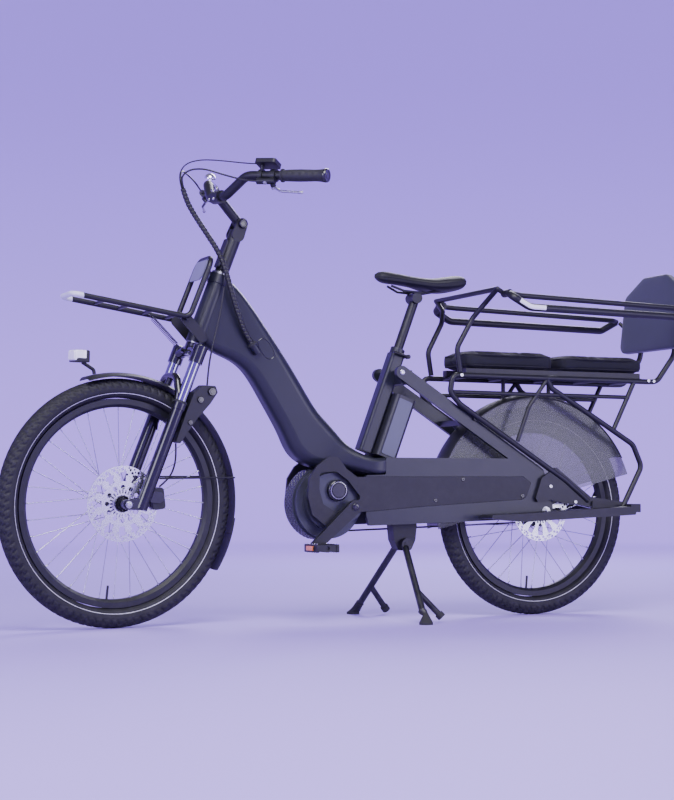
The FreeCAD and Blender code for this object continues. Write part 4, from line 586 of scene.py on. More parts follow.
class Finish:
    """Material under construction: Principled shader, object coordinates and the shared effects."""

    def __init__(self, name, colour, roughness, metallic=0.0, coat=0.0, spread=0.25, scale=5.0, rub=0.12,
                 grain=900.0, cells=0.5, depth=0.00005, bump=0.25, dust=0.0, sheen=0.0, specular=0.5):
        self.material = bpy.data.materials.new(name)
        self.material.use_nodes = True
        self.tree = self.material.node_tree
        self.shader = self.tree.nodes["Principled BSDF"]
        self.vector = add(self.tree, "ShaderNodeTexCoord").outputs["Object"]
        tone = grouped(self.tree, "tone",
                       {"Vector": self.vector, "Color": (*colour[:3], 1.0), "Spread": spread,
                                           "Scale": scale, "Roughness": roughness, "Rub": rub})
        self.colour, self.roughness = tone.outputs["Color"], tone.outputs["Roughness"]
        self.height = grouped(self.tree, "grain", {"Vector": self.vector, "Scale": grain,
                                                   "Cells": cells}).outputs["Height"]
        self.bump, self.depth = bump, depth
        self.metallic = metallic
        if dust:
            mask = grouped(self.tree, "dust", {"Vector": self.vector, "Amount": dust, "Top": 0.62}).outputs[0]
            self.colour = blend_colour(self.tree, mask, self.colour, DUST)
            self.roughness = blend_value(self.tree, mask, self.roughness, 0.85)
        self.shader.inputs["Coat Weight"].default_value = coat
        self.shader.inputs["Coat Roughness"].default_value = 0.12
        self.shader.inputs["Sheen Weight"].default_value = sheen
        self.shader.inputs["Specular IOR Level"].default_value = specular
        FINISHES[name] = self.material

    def region(self, mask, colour, roughness, metallic=None):
        """Another colour and gloss where a mask is 1."""
        self.colour = blend_colour(self.tree, mask, self.colour, colour)
        self.roughness = blend_value(self.tree, mask, self.roughness, roughness)
        if metallic is not None:
            self.metallic = blend_value(self.tree, mask, self.metallic, metallic)

    def between(self, direction, low, high, vector=None):
        """Mask of the points whose place along a direction lies between two values."""
        place = vector_calc(self.tree, "DOT_PRODUCT", vector or self.vector, tuple(direction), output=1)
        return calc(self.tree, "MULTIPLY", calc(self.tree, "GREATER_THAN", place, float(low)),
                    calc(self.tree, "LESS_THAN", place, float(high)))

    def all_of(self, *masks):
        """Masks multiplied."""
        result = masks[0]
        for mask in masks[1:]:
            result = calc(self.tree, "MULTIPLY", result, mask)
        return result

    def done(self):
        """Links colour, roughness, metal and bump into the shader."""
        tree, shader = self.tree, self.shader
        tree.links.new(self.colour, shader.inputs["Base Color"])
        tree.links.new(self.roughness, shader.inputs["Roughness"])
        if isinstance(self.metallic, bpy.types.NodeSocket):
            tree.links.new(self.metallic, shader.inputs["Metallic"])
        else:
            shader.inputs["Metallic"].default_value = self.metallic
        relief = add(tree, "ShaderNodeBump", {"Height": self.height, "Strength": self.bump,
                                              "Distance": self.depth})
        tree.links.new(relief.outputs[0], shader.inputs["Normal"])
        return self.material


# ---------------------------------------------------------------- finishes
def plain_finishes(tint):
    """Finishes that are the same all over their pieces."""
    black, frame_paint = tuple(tint.black), tuple(tint.frame)
    Finish("frame_paint", frame_paint, 0.4, coat=0.06, spread=0.14, scale=3.0, grain=1500.0, cells=0.2,
           bump=0.12, dust=0.06).done()
    Finish("powder_coat", black, 0.45, spread=0.3, scale=7.0, grain=1300.0, cells=0.35, bump=0.3,
           dust=0.08).done()
    Finish("gloss_black", black, 0.2, coat=0.5, spread=0.2, grain=700.0, bump=0.05).done()
    Finish("moulded_plastic", (0.007, 0.0073, 0.010), 0.5, spread=0.25, scale=9.0, grain=1100.0, cells=0.8,
           depth=0.00008, bump=0.5, dust=0.12).done()
    Finish("soft_rubber", (0.009, 0.0092, 0.0125), 0.6, spread=0.3, scale=12.0, grain=1600.0, cells=0.6,
           bump=0.4, dust=0.1, sheen=0.05).done()
    Finish("hose_rubber", (0.009, 0.009, 0.011), 0.42, spread=0.25, scale=20.0, grain=1500.0, bump=0.2).done()
    Finish("chrome", (0.78, 0.79, 0.82), 0.07, metallic=1.0, spread=0.06, rub=0.06, grain=500.0,
           bump=0.02).done()
    Finish("bright_steel", (0.55, 0.56, 0.58), 0.28, metallic=1.0, spread=0.12, scale=30.0, grain=1400.0,
           bump=0.15).done()
    Finish("spring_steel", (0.06, 0.062, 0.07), 0.25, metallic=0.9, spread=0.2, scale=30.0, bump=0.05).done()
    Finish("spoke_steel", (0.5, 0.51, 0.55), 0.24, metallic=1.0, spread=0.15, scale=20.0, bump=0.05).done()
    Finish("belt", (0.012, 0.012, 0.013), 0.62, spread=0.3, grain=1500.0, bump=0.4).done()
    Finish("reflective_strip", (0.8, 0.81, 0.84), 0.24, spread=0.05, grain=1800.0, cells=1.0,
           depth=0.0001, bump=0.4, coat=0.6).done()
    Finish("pale_plastic", (0.62, 0.63, 0.68), 0.22, spread=0.08, coat=0.5, grain=600.0, bump=0.04).done()


def disc_holes(tree, vector, reach, centre, axle):
    """Mask that is 0 in the drilled holes of a brake disc, set in slanting rows across its track."""
    arm = vector_calc(tree, "SUBTRACT", vector, tuple(centre))
    ahead = unit(np.cross(axle, UP))
    x = vector_calc(tree, "DOT_PRODUCT", arm, tuple(ahead), output=1)
    z = vector_calc(tree, "DOT_PRODUCT", arm, tuple(np.cross(ahead, axle)), output=1)
    turn = calc(tree, "DIVIDE", calc(tree, "ARCTAN2", z, x), 2 * math.pi)
    solid = None
    for radius, count, hole, shift in ((0.0785, 24, 0.0034, 0.0), (0.0855, 24, 0.0036, 0.3),
                                       (0.0925, 24, 0.0034, 0.62), (0.0445, 12, 0.0062, 0.5)):
        phase = calc(tree, "FRACT",
                     calc(tree, "ADD", calc(tree, "MULTIPLY", turn, float(count)), 8.0 + shift))
        along = calc(tree, "MULTIPLY", calc(tree, "SUBTRACT", phase, 0.5), 2 * math.pi * radius / count)
        away = calc(tree, "SUBTRACT", reach, radius)
        far = calc(tree, "SQRT", calc(tree, "ADD", calc(tree, "MULTIPLY", along, along),
                                      calc(tree, "MULTIPLY", away, away)))
        mask = calc(tree, "GREATER_THAN", far, hole)
        solid = mask if solid is None else calc(tree, "MULTIPLY", solid, mask)
    return solid


def metal_finishes():
    """Ground discs with fine rings about each axle, and the satin motor casting."""
    for name, centre, axle in (("front_disc", FRONT_CENTRE, FRONT_AXLE),
                               ("rear_disc", REAR_CENTRE, REAR_AXLE)):
        disc = Finish(name, (0.66, 0.67, 0.7), 0.27, metallic=1.0, spread=0.15, scale=25.0)
        rings = grouped(disc.tree, "rings", {"Vector": disc.vector, "Centre": tuple(centre),
                                             "Axle": tuple(axle), "Scale": 1400.0})
        disc.height, disc.bump, disc.depth = rings.outputs["Height"], 0.35, 0.00004
        solid = disc_holes(disc.tree, disc.vector, rings.outputs["Distance"], centre, axle)
        disc.tree.links.new(solid, disc.shader.inputs["Alpha"])
        disc.done()
    cast = Finish("motor_casting", (0.055, 0.058, 0.072), 0.4, metallic=0.55, spread=0.3, scale=14.0,
                  grain=700.0, cells=0.3, depth=0.0001, bump=0.5, dust=0.1)
    cast.done()


def fork_finishes(tint):
    """Gloss fork paint, with bright uppers between the crown and the seals."""
    seal_level = 0.315
    fork = Finish("fork_uppers_finish", tuple(tint.black), 0.16, coat=0.7, spread=0.2, grain=600.0, bump=0.05)
    level = float(STEER_FOOT @ STEER_UP)
    side_arm = vector_calc(fork.tree, "SUBTRACT", fork.vector, tuple(STEER_FOOT))
    off_centre = calc(fork.tree, "ABSOLUTE",
                      vector_calc(fork.tree, "DOT_PRODUCT", side_arm, tuple(FRONT_AXLE),
                                                         output=1))
    bright = fork.all_of(fork.between(STEER_UP, level + seal_level - 0.3, level + 0.4235),
                         calc(fork.tree, "GREATER_THAN", off_centre, 0.045))
    fork.region(bright, (0.3, 0.31, 0.36), 0.07, 1.0)
    fork.done()


def carrier_finish(tint):
    """Carrier in black coat with a pale nose and a satin shield under the top bar."""
    low, high = corners("front_carrier")
    coat = Finish("carrier_coat", tuple(tint.black), 0.42, spread=0.25, scale=7.0, grain=1300.0, bump=0.25)
    nose = coat.between(FORWARD, high[0] - 0.036, high[0] + 0.1)
    coat.region(nose, tuple(tint.pale), 0.3)
    knee, crest = from_rear(1.100, 0, 0.838), from_rear(1.034, 0, 1.004)
    rise = unit(crest - knee)
    top = float(crest @ rise)
    shield = coat.all_of(coat.between(rise, top - 0.072, top - 0.0078),
                         coat.between(LEFTWARD, -0.0474, 0.0474),
                         coat.between(FORWARD, low[0], knee[0] - 0.03))
    coat.region(shield, (0.17, 0.175, 0.25), 0.32)
    coat.done()


def battery_finish(tint):
    """Dark case with lighter satin side panels."""
    case = Finish("battery_case", (0.02, 0.021, 0.026), 0.4, spread=0.2, grain=1000.0, bump=0.3)
    side = vector_calc(case.tree, "ABSOLUTE", case.vector)
    aside = case.between(LEFTWARD, 0.0462, 0.0495, side)
    case.region(case.all_of(aside, case.between(UP, 0.462, 0.9)), tuple(tint.panel), 0.36)
    case.done()


def tyre_finish(tint):
    """Tyre rubber with a pale line on each side, read from the piece's own surface map."""
    rubber = Finish("tyre_rubber", tuple(tint.tyre), 0.68, spread=0.3, scale=16.0, grain=1300.0, cells=0.4,
                    depth=0.0001, bump=0.4, dust=0.1)
    tree = rubber.tree
    surface = add(tree, "ShaderNodeUVMap", uv_map="surface").outputs[0]
    v = add(tree, "ShaderNodeSeparateXYZ", {0: surface}).outputs[1]
    from_middle = calc(tree, "ABSOLUTE", calc(tree, "SUBTRACT", v, 0.5))
    pale = calc(tree, "COMPARE", from_middle, 0.372, 0.0055)
    rubber.region(pale, tuple(tint.line), 0.35)
    rubber.done()


def soft_finishes(tint):
    """Woven cushion cloth, backrest foam skin and saddle cover."""
    for name, shade, scale, sheen in (("cushion_cloth", tint.fabric, 2600.0, 0.06),
                                      ("webbing", (0.006, 0.006, 0.008), 1500.0, 0.04)):
        cloth = Finish(name, tuple(shade), 0.82, spread=0.3, scale=9.0, sheen=sheen, specular=0.3)
        weave = grouped(cloth.tree, "weave", {"Vector": cloth.vector, "Scale": scale})
        cloth.height, cloth.bump, cloth.depth = weave.outputs["Height"], 0.6, 0.0002
        # Painted shade: the cloth colour moves towards a lighter colour on raised threads, so the dips of the
        # weave stay darker
        lighter = tuple(min(1.0, c * 2.2 + 0.004) for c in shade)
        cloth.colour = blend_colour(cloth.tree, weave.outputs["Tone"], cloth.colour, lighter)
        cloth.done()
    Finish("backrest_skin", tuple(tint.pad), 0.6, spread=0.14, scale=4.0, grain=520.0, cells=0.8,
           depth=0.00012, bump=0.5, sheen=0.15).done()
    Finish("saddle_cover", (0.006, 0.0064, 0.009), 0.56, spread=0.22, scale=9.0, grain=650.0, cells=0.9,
           depth=0.00012, bump=0.5, sheen=0.02, specular=0.35).done()


def clear_finishes(tint):
    """Smoked skirt guards, lamp lens, amber reflectors and the display's dark glass."""
    smoke = Finish("smoked_guard", (0.115, 0.122, 0.12), 0.22, spread=0.07, scale=6.0, grain=90.0, cells=0.0,
                   depth=0.0005, bump=0.05, specular=0.4)
    rings = grouped(smoke.tree, "rings", {"Vector": smoke.vector, "Centre": tuple(REAR_CENTRE),
                                          "Axle": tuple(REAR_AXLE), "Scale": 1.0})
    rim_ward = calc(smoke.tree, "MULTIPLY", calc(smoke.tree, "SUBTRACT", rings.outputs["Distance"], 0.24),
                    7.0,
                    clamp=True)
    smoke.colour = blend_colour(smoke.tree, rim_ward, smoke.colour, (0.03, 0.032, 0.038))
    veil = calc(smoke.tree, "ADD", calc(smoke.tree, "MULTIPLY", rim_ward, 0.32), 0.44, clamp=True)
    smoke.tree.links.new(veil, smoke.shader.inputs["Alpha"])
    smoke.done()
    smoke.material.surface_render_method = "BLENDED"
    lens = Finish("lamp_lens", (0.86, 0.87, 0.9), 0.08, spread=0.04, grain=120.0, cells=1.0, depth=0.0006,
                  bump=0.5, coat=0.8)
    lens.done()
    amber = Finish("amber_reflector", tuple(tint.amber), 0.16, spread=0.12, grain=420.0, cells=1.0,
                   depth=0.0006, bump=0.8, coat=0.8)
    amber.done()
    Finish("display_glass", (0.006, 0.0065, 0.009), 0.08, spread=0.1, coat=0.8, grain=300.0, bump=0.02).done()


def stand_finish(tint):
    """Stand in black coat with dark rubber soles."""
    coat = Finish("stand_coat", tuple(tint.black), 0.4, spread=0.3, scale=9.0, grain=1200.0, bump=0.25,
                  dust=0.2)
    coat.region(coat.between(UP, -0.01, 0.034), (0.02, 0.02, 0.022), 0.75)
    coat.done()


NODE_FINISH = {
    "frame_paint": ("down_tube", "seat_tube", "rear_stays"),
    "powder_coat": ("rear_rack", "grab_hoop", "hand_rails", "backrest_frame", "stand_bracket", "rear_caliper",
                    "front_caliper", "seat_clamp_lever", "handlebar", "stem_arm", "stem_post", "seat_post",
                    "brake_bodies", "crankset", "front_rim", "rear_rim", "front_hub", "rear_hub"),
    "gloss_black": ("fork_lowers", "brake_lever_right"),
    "moulded_plastic": ("drive_covers", "footboards", "rear_mudguard", "front_mudguard", "brake_unit",
                        "display",
                        "display_button", "pedal_left", "pedal_right"),
    "bright_steel": ("headset_bearings", "rear_axle", "front_axle", "rear_sprocket", "brake_lever_left"),
    "spoke_steel": ("front_spokes", "rear_spokes"),
    "chrome": ("bell",), "belt": ("drive_belt",), "motor_casting": ("motor_housing",),
    "front_disc": ("front_rotor",), "rear_disc": ("rear_rotor",), "fork_uppers_finish": ("fork_uppers",),
    "carrier_coat": ("front_carrier",), "battery_case": ("battery",), "smoked_guard": ("skirt_guards",),
    "stand_coat": ("stand_legs",), "soft_rubber": ("grips",), "hose_rubber": ("hose_bundle", "control_hoses"),
    "tyre_rubber": ("front_tyre", "rear_tyre"), "cushion_cloth": ("seat_cushion_front", "seat_cushion_rear"),
    "backrest_skin": ("backrest_pad",), "saddle_cover": ("saddle",), "pale_plastic": ("headlight",),
}


class BICYCLE_OT_finishes(bpy.types.Operator):
    """Builds every material and gives each carried-over part its own"""
    bl_idname = "bicycle.finishes"
    bl_label = "Finishes"

    def execute(self, context):
        tint = context.scene.bicycle_finish
        GROUPS.update(tone=tone_group(), grain=grain_group(), weave=weave_group(), rings=lathe_group(),
                      dust=dust_group())
        plain_finishes(tint)
        metal_finishes()
        fork_finishes(tint)
        carrier_finish(tint)
        battery_finish(tint)
        tyre_finish(tint)
        soft_finishes(tint)
        clear_finishes(tint)
        stand_finish(tint)
        for finish, names in NODE_FINISH.items():
            for name in names:
                NODES[name].data.materials.clear()
                NODES[name].data.materials.append(FINISHES[finish])
        bare = [name for name in NODES if name not in sum(NODE_FINISH.values(), ())
                and name != "steering_spring"]
        if bare:
            raise RuntimeError(f"no finish for {bare}")
        NODES["steering_spring"].data.materials.clear()
        NODES["steering_spring"].data.materials.append(FINISHES["spring_steel"])
        return {"FINISHED"}


# ---------------------------------------------------------------- wheels
def tyre(name, radius, centre, axle, sizes, body):
    """Tyre: section circle with tread blocks, closed by the inside of its wall.

    The section angle a runs from bead to bead. The radius of the section is the full one on a block and less
    by the tread depth in a groove. Blocks are set by the angle round the wheel, shifted from row to row.
    """
    stations, rows = sizes.blocks * 8, 61
    end = math.pi - math.asin(sizes.bead / sizes.section)
    a = np.linspace(-end, end, rows)[:, None]
    t = np.linspace(0, 2 * math.pi, stations + 1)[None, :]
    share = np.degrees(np.abs(a))
    row_kind = np.select([share < 13, share < 32, share < 54, share < 80], [0, 1, 2, 3], 4)
    shift = np.select([row_kind == 0, row_kind == 1, row_kind == 2, row_kind == 3], [0.0, 0.5, 0.12, 0.62],
                      0.0)
    slant = np.sign(a) * share / 80 * 0.8
    phase = (t / (2 * math.pi) * sizes.blocks + shift + slant) % 1.0
    block = np.clip((0.40 - np.abs(phase - 0.5)) * 14, 0, 1)
    gap = np.min([np.abs(share - 13), np.abs(share - 32), np.abs(share - 54)], axis=0)
    block = block * np.clip(gap / 1.6, 0, 1)
    side_wall = np.clip((share - 78) / 4, 0, 1)
    rib = 0.3 * np.exp(-((share - 90) / 2.5) ** 2) + 0.5 * np.exp(-((share - 133) / 3.0) ** 2)
    tread = np.where(row_kind < 4, block, 0) * (1 - side_wall)
    depth = sizes.tread * (1 - tread) * (1 - 0.45 * side_wall) - sizes.tread * rib
    section = sizes.section - np.maximum(depth, 0)
    middle = radius - sizes.section
    outer_r, outer_y = middle + section * np.cos(a), section * np.sin(a)
    inner_a = np.linspace(end, -end, 15)[:, None] * np.ones_like(t)
    inner = sizes.section - sizes.wall
    reach = np.concatenate([outer_r, middle + inner * np.cos(inner_a), outer_r[:1]])
    offset = np.concatenate([outer_y, inner * np.sin(inner_a), outer_y[:1]])
    first, second = across(axle)
    ring = np.cos(t)[0][:, None] * first + np.sin(t)[0][:, None] * second
    points = centre + reach[..., None] * ring + offset[..., None] * axle
    v = np.concatenate([np.linspace(0, 1, rows), np.full(16, 0.5)])
    uv = np.stack(np.broadcast_arrays(t * radius, v[:, None]), -1)
    return piece(name, [shell(points, uv)], body, FINISHES["tyre_rubber"],
                 replaces=(name.replace("_tread", "_tyre"),), crease=55)


class BICYCLE_OT_tyres(bpy.types.Operator):
    """Treaded tyres in place of the plain ones"""
    bl_idname = "bicycle.tyres"
    bl_label = "Tyres"

    def execute(self, context):
        sizes = context.scene.bicycle_wheels
        for prefix, centre, axle in (("front", FRONT_CENTRE, FRONT_AXLE), ("rear", REAR_CENTRE, REAR_AXLE)):
            low, high = corners(prefix + "_tyre")
            radius = (high[2] - low[2]) / 2
            tyre(prefix + "_tread", radius, centre, axle, sizes, prefix + "_wheel")
        return {"FINISHED"}


def nipple_ring(prefix, centre, axle, count):
    """Spoke nipples: small tapered stems that stand inwards on the rim, one for each spoke."""
    low, high = corners(prefix + "_rim")
    outer = (high[2] - low[2]) / 2
    inside = outer - 0.023
    shells = []
    for i in range(count):
        angle = 2 * math.pi * i / count
        side = SIDES[i % 2]
        x_dir = unit(np.cross(axle, UP))
        z_dir = np.cross(x_dir, axle)
        out = x_dir * math.cos(angle) * -1 + z_dir * math.sin(angle)
        foot = centre + out * (inside + 0.002) + axle * side * 0.003
        profile = [(0, 0), (0.0021, 0), (0.0021, 0.006), (0.0016, 0.0115), (0.0012, 0.012), (0, 0.012)]
        shells.append(revolve(profile, foot, -out, 8))
    return shells


class BICYCLE_OT_rims(bpy.types.Operator):
    """Spoke nipples and disc lockrings"""
    bl_idname = "bicycle.rims"
    bl_label = "Rim details"

    def execute(self, context):
        count = context.scene.bicycle_wheels.nipples
        for prefix, centre, axle in (("front", FRONT_CENTRE, FRONT_AXLE), ("rear", REAR_CENTRE, REAR_AXLE)):
            body = prefix + "_wheel"
            piece(prefix + "_nipples", nipple_ring(prefix, centre, axle, count), body,
                  FINISHES["bright_steel"])
            face = 0.0415 if prefix == "front" else 0.0515
            ring = [(0.0172, 0), (0.0235, 0), (0.0235, 0.0012), (0.0222, 0.0026), (0.0185, 0.0026),
                    (0.0172, 0.0018),
                    (0.0172, 0)]

            def notched(reach, angle):
                """Tool notches round the ring's outer edge."""
                reach = reach.copy()
                reach[1:4] = reach[1:4] - 0.0009 * (np.cos(angle * 16) > 0)
                return reach

            piece(prefix + "_lockring", [revolve(ring, centre + axle * face, axle, 96, notched)], body,
                  FINISHES["gloss_black"])
        return {"FINISHED"}


# ---------------------------------------------------------------- front end
class BICYCLE_OT_coil(bpy.types.Operator):
    """Steering spring as a real coil with hooks, between frame and fork"""
    bl_idname = "bicycle.coil"
    bl_label = "Steering coil"

    def execute(self, context):
        sizes = context.scene.bicycle_trim
        knee, tip = from_rear(1.100, 0, 0.838), from_rear(1.399, 0, 0.884)
        start = knee + (tip - knee) * 0.33 - UP * 0.006
        end = at_rest(on_head(0.456, 0.0354))
        run = unit(end - start)
        first, second = across(run)
        low, high = start + run * 0.011, end - run * 0.011
        t = np.linspace(0, 1, sizes.coil_turns * 20)
        turn = 2 * math.pi * sizes.coil_turns * t
        middle = low * (1 - t[:, None]) + high * t[:, None]
        reach = sizes.coil_radius * np.clip(np.minimum(t, 1 - t) * 16, 0.35, 1)
        coil = middle + reach[:, None] * (np.cos(turn)[:, None] * first + np.sin(turn)[:, None] * second)
        hooks = [np.concatenate([line(start, start + run * 0.009, 3), coil[:1]]),
                 np.concatenate([coil[-1:], line(end - run * 0.009, end, 3)])]
        made = piece("steering_coil", [tube(coil, sizes.coil_wire, 8)]
                     + [tube(hook, sizes.coil_wire, 8) for hook in hooks], None,
                     FINISHES["spring_steel"], replaces=("steering_spring",))
        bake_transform(made)
        return {"FINISHED"}


class BICYCLE_OT_lamp(bpy.types.Operator):
    """Headlight: rounded case, lens front, arm and bolt"""
    bl_idname = "bicycle.lamp"
    bl_label = "Headlight"

    def execute(self, context):
        fore, side = at_rest(STEER_FOOT + FORWARD) - at_rest(STEER_FOOT), FRONT_AXLE
        fore = unit(fore - UP * fore[2] * 0.9)
        foot = at_rest(self.foot())
        case = foot + fore * 0.0425 + UP * 0.0465
        axes = (fore, side, np.cross(fore, side))
        piece("lamp_case", [rounded_box(case - fore * 0.008, (0.0125, 0.0258, 0.0162), axes, 0.22),
                                   rounded_box(case - UP * 0.0105, (0.0205, 0.0262, 0.0062), axes, 0.22)],
                     "fork_lower", FINISHES["moulded_plastic"])
        piece("lamp_front",
              [rounded_box(case + fore * 0.0045 + UP * 0.0018, (0.0172, 0.0262, 0.0146), axes, 0.2),
                             rounded_box(case + fore * 0.022 + UP * 0.0015, (0.002, 0.0222, 0.0116), axes,
                                         0.3)],
              "fork_lower", FINISHES["lamp_lens"], replaces=("headlight",))
        arm = bent_path([foot, foot + fore * 0.002 + UP * 0.012, foot + fore * 0.034 + UP * 0.0304], [0.008])
        piece("lamp_arm", [tube(arm, 0.005, 16), bolt(foot + fore * 0.02 + UP * 0.021 + side * 0.0045, side,
                                                      0.005, 0.003)],
              "fork_lower", FINISHES["powder_coat"])
        return {"FINISHED"}

    @staticmethod
    def foot():
        """Foot of the lamp's arm on the mudguard, bars straight ahead."""
        straight = turned(FRONT_CENTRE, STEER_UP, -REST_TURN, STEER_FOOT)
        reach, guard = 0.072, 0.350
        return straight + FORWARD * reach + UP * (math.sqrt(guard ** 2 - reach ** 2) + 0.0005)


def straight_head(level, fore, side):
    """Point on the steered group at rest."""
    return at_rest(on_head(level, fore, side))


class BICYCLE_OT_fork_details(bpy.types.Operator):
    """Crown caps, leg seals, unit knobs and axle bolts of the fork"""
    bl_idname = "bicycle.fork_details"
    bl_label = "Fork details"

    def execute(self, context):
        caps, seals, bolts = [], [], []
        for side in SIDES:
            top = straight_head(0.4722, 0.008, side * 0.065)
            cap = [(0, 0.0052), (0.006, 0.0052), (0.0068, 0.0038), (0.0125, 0.0038), (0.0148, 0.002),
                   (0.0152, 0),
                   (0, 0)]
            caps.append(revolve(cap, top, STEER_UP, 40))
            seat = straight_head(0.3062, 0.008, side * 0.065)
            lip = [(0.0151, 0), (0.0196, 0), (0.0198, 0.0035), (0.0172, 0.0066), (0.0151, 0.0068),
                   (0.0151, 0)]
            seals.append(revolve(lip, seat, STEER_UP, 48))
            bolts.append(bolt(FRONT_CENTRE + FRONT_AXLE * side * 0.0831, FRONT_AXLE * side, 0.0082, 0.003,
                              0.42))
        knob = [(0, 0.0075), (0.0065, 0.0075), (0.0072, 0.006), (0.0098, 0.006), (0.0112, 0.0045),
                (0.0116, 0), (0, 0)]
        knobs = [revolve(np.array(knob) * scale, straight_head(level, fore, 0.0801), FRONT_AXLE, 40)
                 for fore, level, scale in ((-0.061, 0.369, 1.0), (-0.038, 0.336, 0.8),
                                            (-0.033, 0.268, 0.62))]
        piece("unit_knobs", knobs, "fork_lower", FINISHES["gloss_black"])
        piece("crown_caps", caps, "steering", FINISHES["gloss_black"])
        piece("leg_seals", seals, "fork_lower", FINISHES["soft_rubber"])
        piece("axle_bolts", bolts, "fork_lower", FINISHES["bright_steel"])
        return {"FINISHED"}


# ---------------------------------------------------------------- cockpit
GRIP_END_STRAIGHT = from_rear(0.845, 0.313, 1.220)
GRIP_KNEE_STRAIGHT = from_rear(0.978, 0.118, 1.228)
GRIP_RUN = unit(GRIP_END_STRAIGHT - GRIP_KNEE_STRAIGHT)


def on_grip(back, side, fore=0.0, rise=0.0):
    """Point beside the grip's axis, back from the end of the bar, at rest."""
    fore_dir = unit(np.array([GRIP_RUN[1], -GRIP_RUN[0], 0]))
    up_dir = -np.cross(GRIP_RUN, fore_dir)
    point = GRIP_END_STRAIGHT - GRIP_RUN * back + fore_dir * fore + up_dir * rise
    return at_rest(point * [1, side, 1])


class BICYCLE_OT_grips(bpy.types.Operator):
    """Rubber grips with ribs and a palm swell, and clamped end caps"""
    bl_idname = "bicycle.grips"
    bl_label = "Grips"

    def execute(self, context):
        radius = context.scene.bicycle_trim.grip
        sleeves, caps = [], []
        for side in SIDES:
            start, end = on_grip(0.128, side), on_grip(0.0005, side)
            axis = unit(end - start)
            reach = np.linalg.norm(end - start)
            s = np.linspace(0, reach, 220)
            swell = radius - 0.0009 + 0.0011 * np.sin(np.clip(s / reach, 0, 1) * math.pi * 1.15) ** 2
            ribs = 0.0004 * np.clip(np.sin(s * 2 * math.pi / 0.0042) * 3, -1, 1)
            ribs = ribs * np.clip((s - 0.012) / 0.004, 0, 1) * np.clip((reach - 0.012 - s) / 0.004, 0, 1)
            swell = swell + 0.0028 * np.clip((s - reach + 0.034) / 0.034, 0, 1) ** 2
            flange = 0.0028 * np.clip((0.005 - s) / 0.0006, 0, 1)
            r = swell + flange
            profile = np.stack([r, s], -1)
            profile = np.concatenate([[(0.0132, 0)], profile, [(0.0132, reach)], [(0.0132, 0)]])

            def ribbed(reach_grid, angle, ribs=ribs):
                """Ribs along the sleeve, higher and lower in turn round it."""
                pattern = np.zeros_like(reach_grid)
                pattern[1:-2] = ribs[:, None] * (0.55 + 0.45 * np.sign(np.sin(angle * 5)))[None, :]
                return reach_grid + pattern

            sleeves.append(revolve(profile, start, axis, 60, ribbed))
            cap = [(0, 0.0084), (0.0085, 0.0084), (0.0092, 0.0074), (0.0118, 0.0074), (0.0128, 0.0085),
                   (0.0172, 0.0085), (0.0188, 0.0068), (0.0193, 0.0006), (0.0185, 0.0003), (0, 0.0003)]
            caps.append(revolve(cap, on_grip(0, side), axis, 48))
        piece("grip_sleeves", sleeves, "cockpit", FINISHES["soft_rubber"], replaces=("grips",))
        piece("grip_caps", caps, "cockpit", FINISHES["gloss_black"])
        return {"FINISHED"}


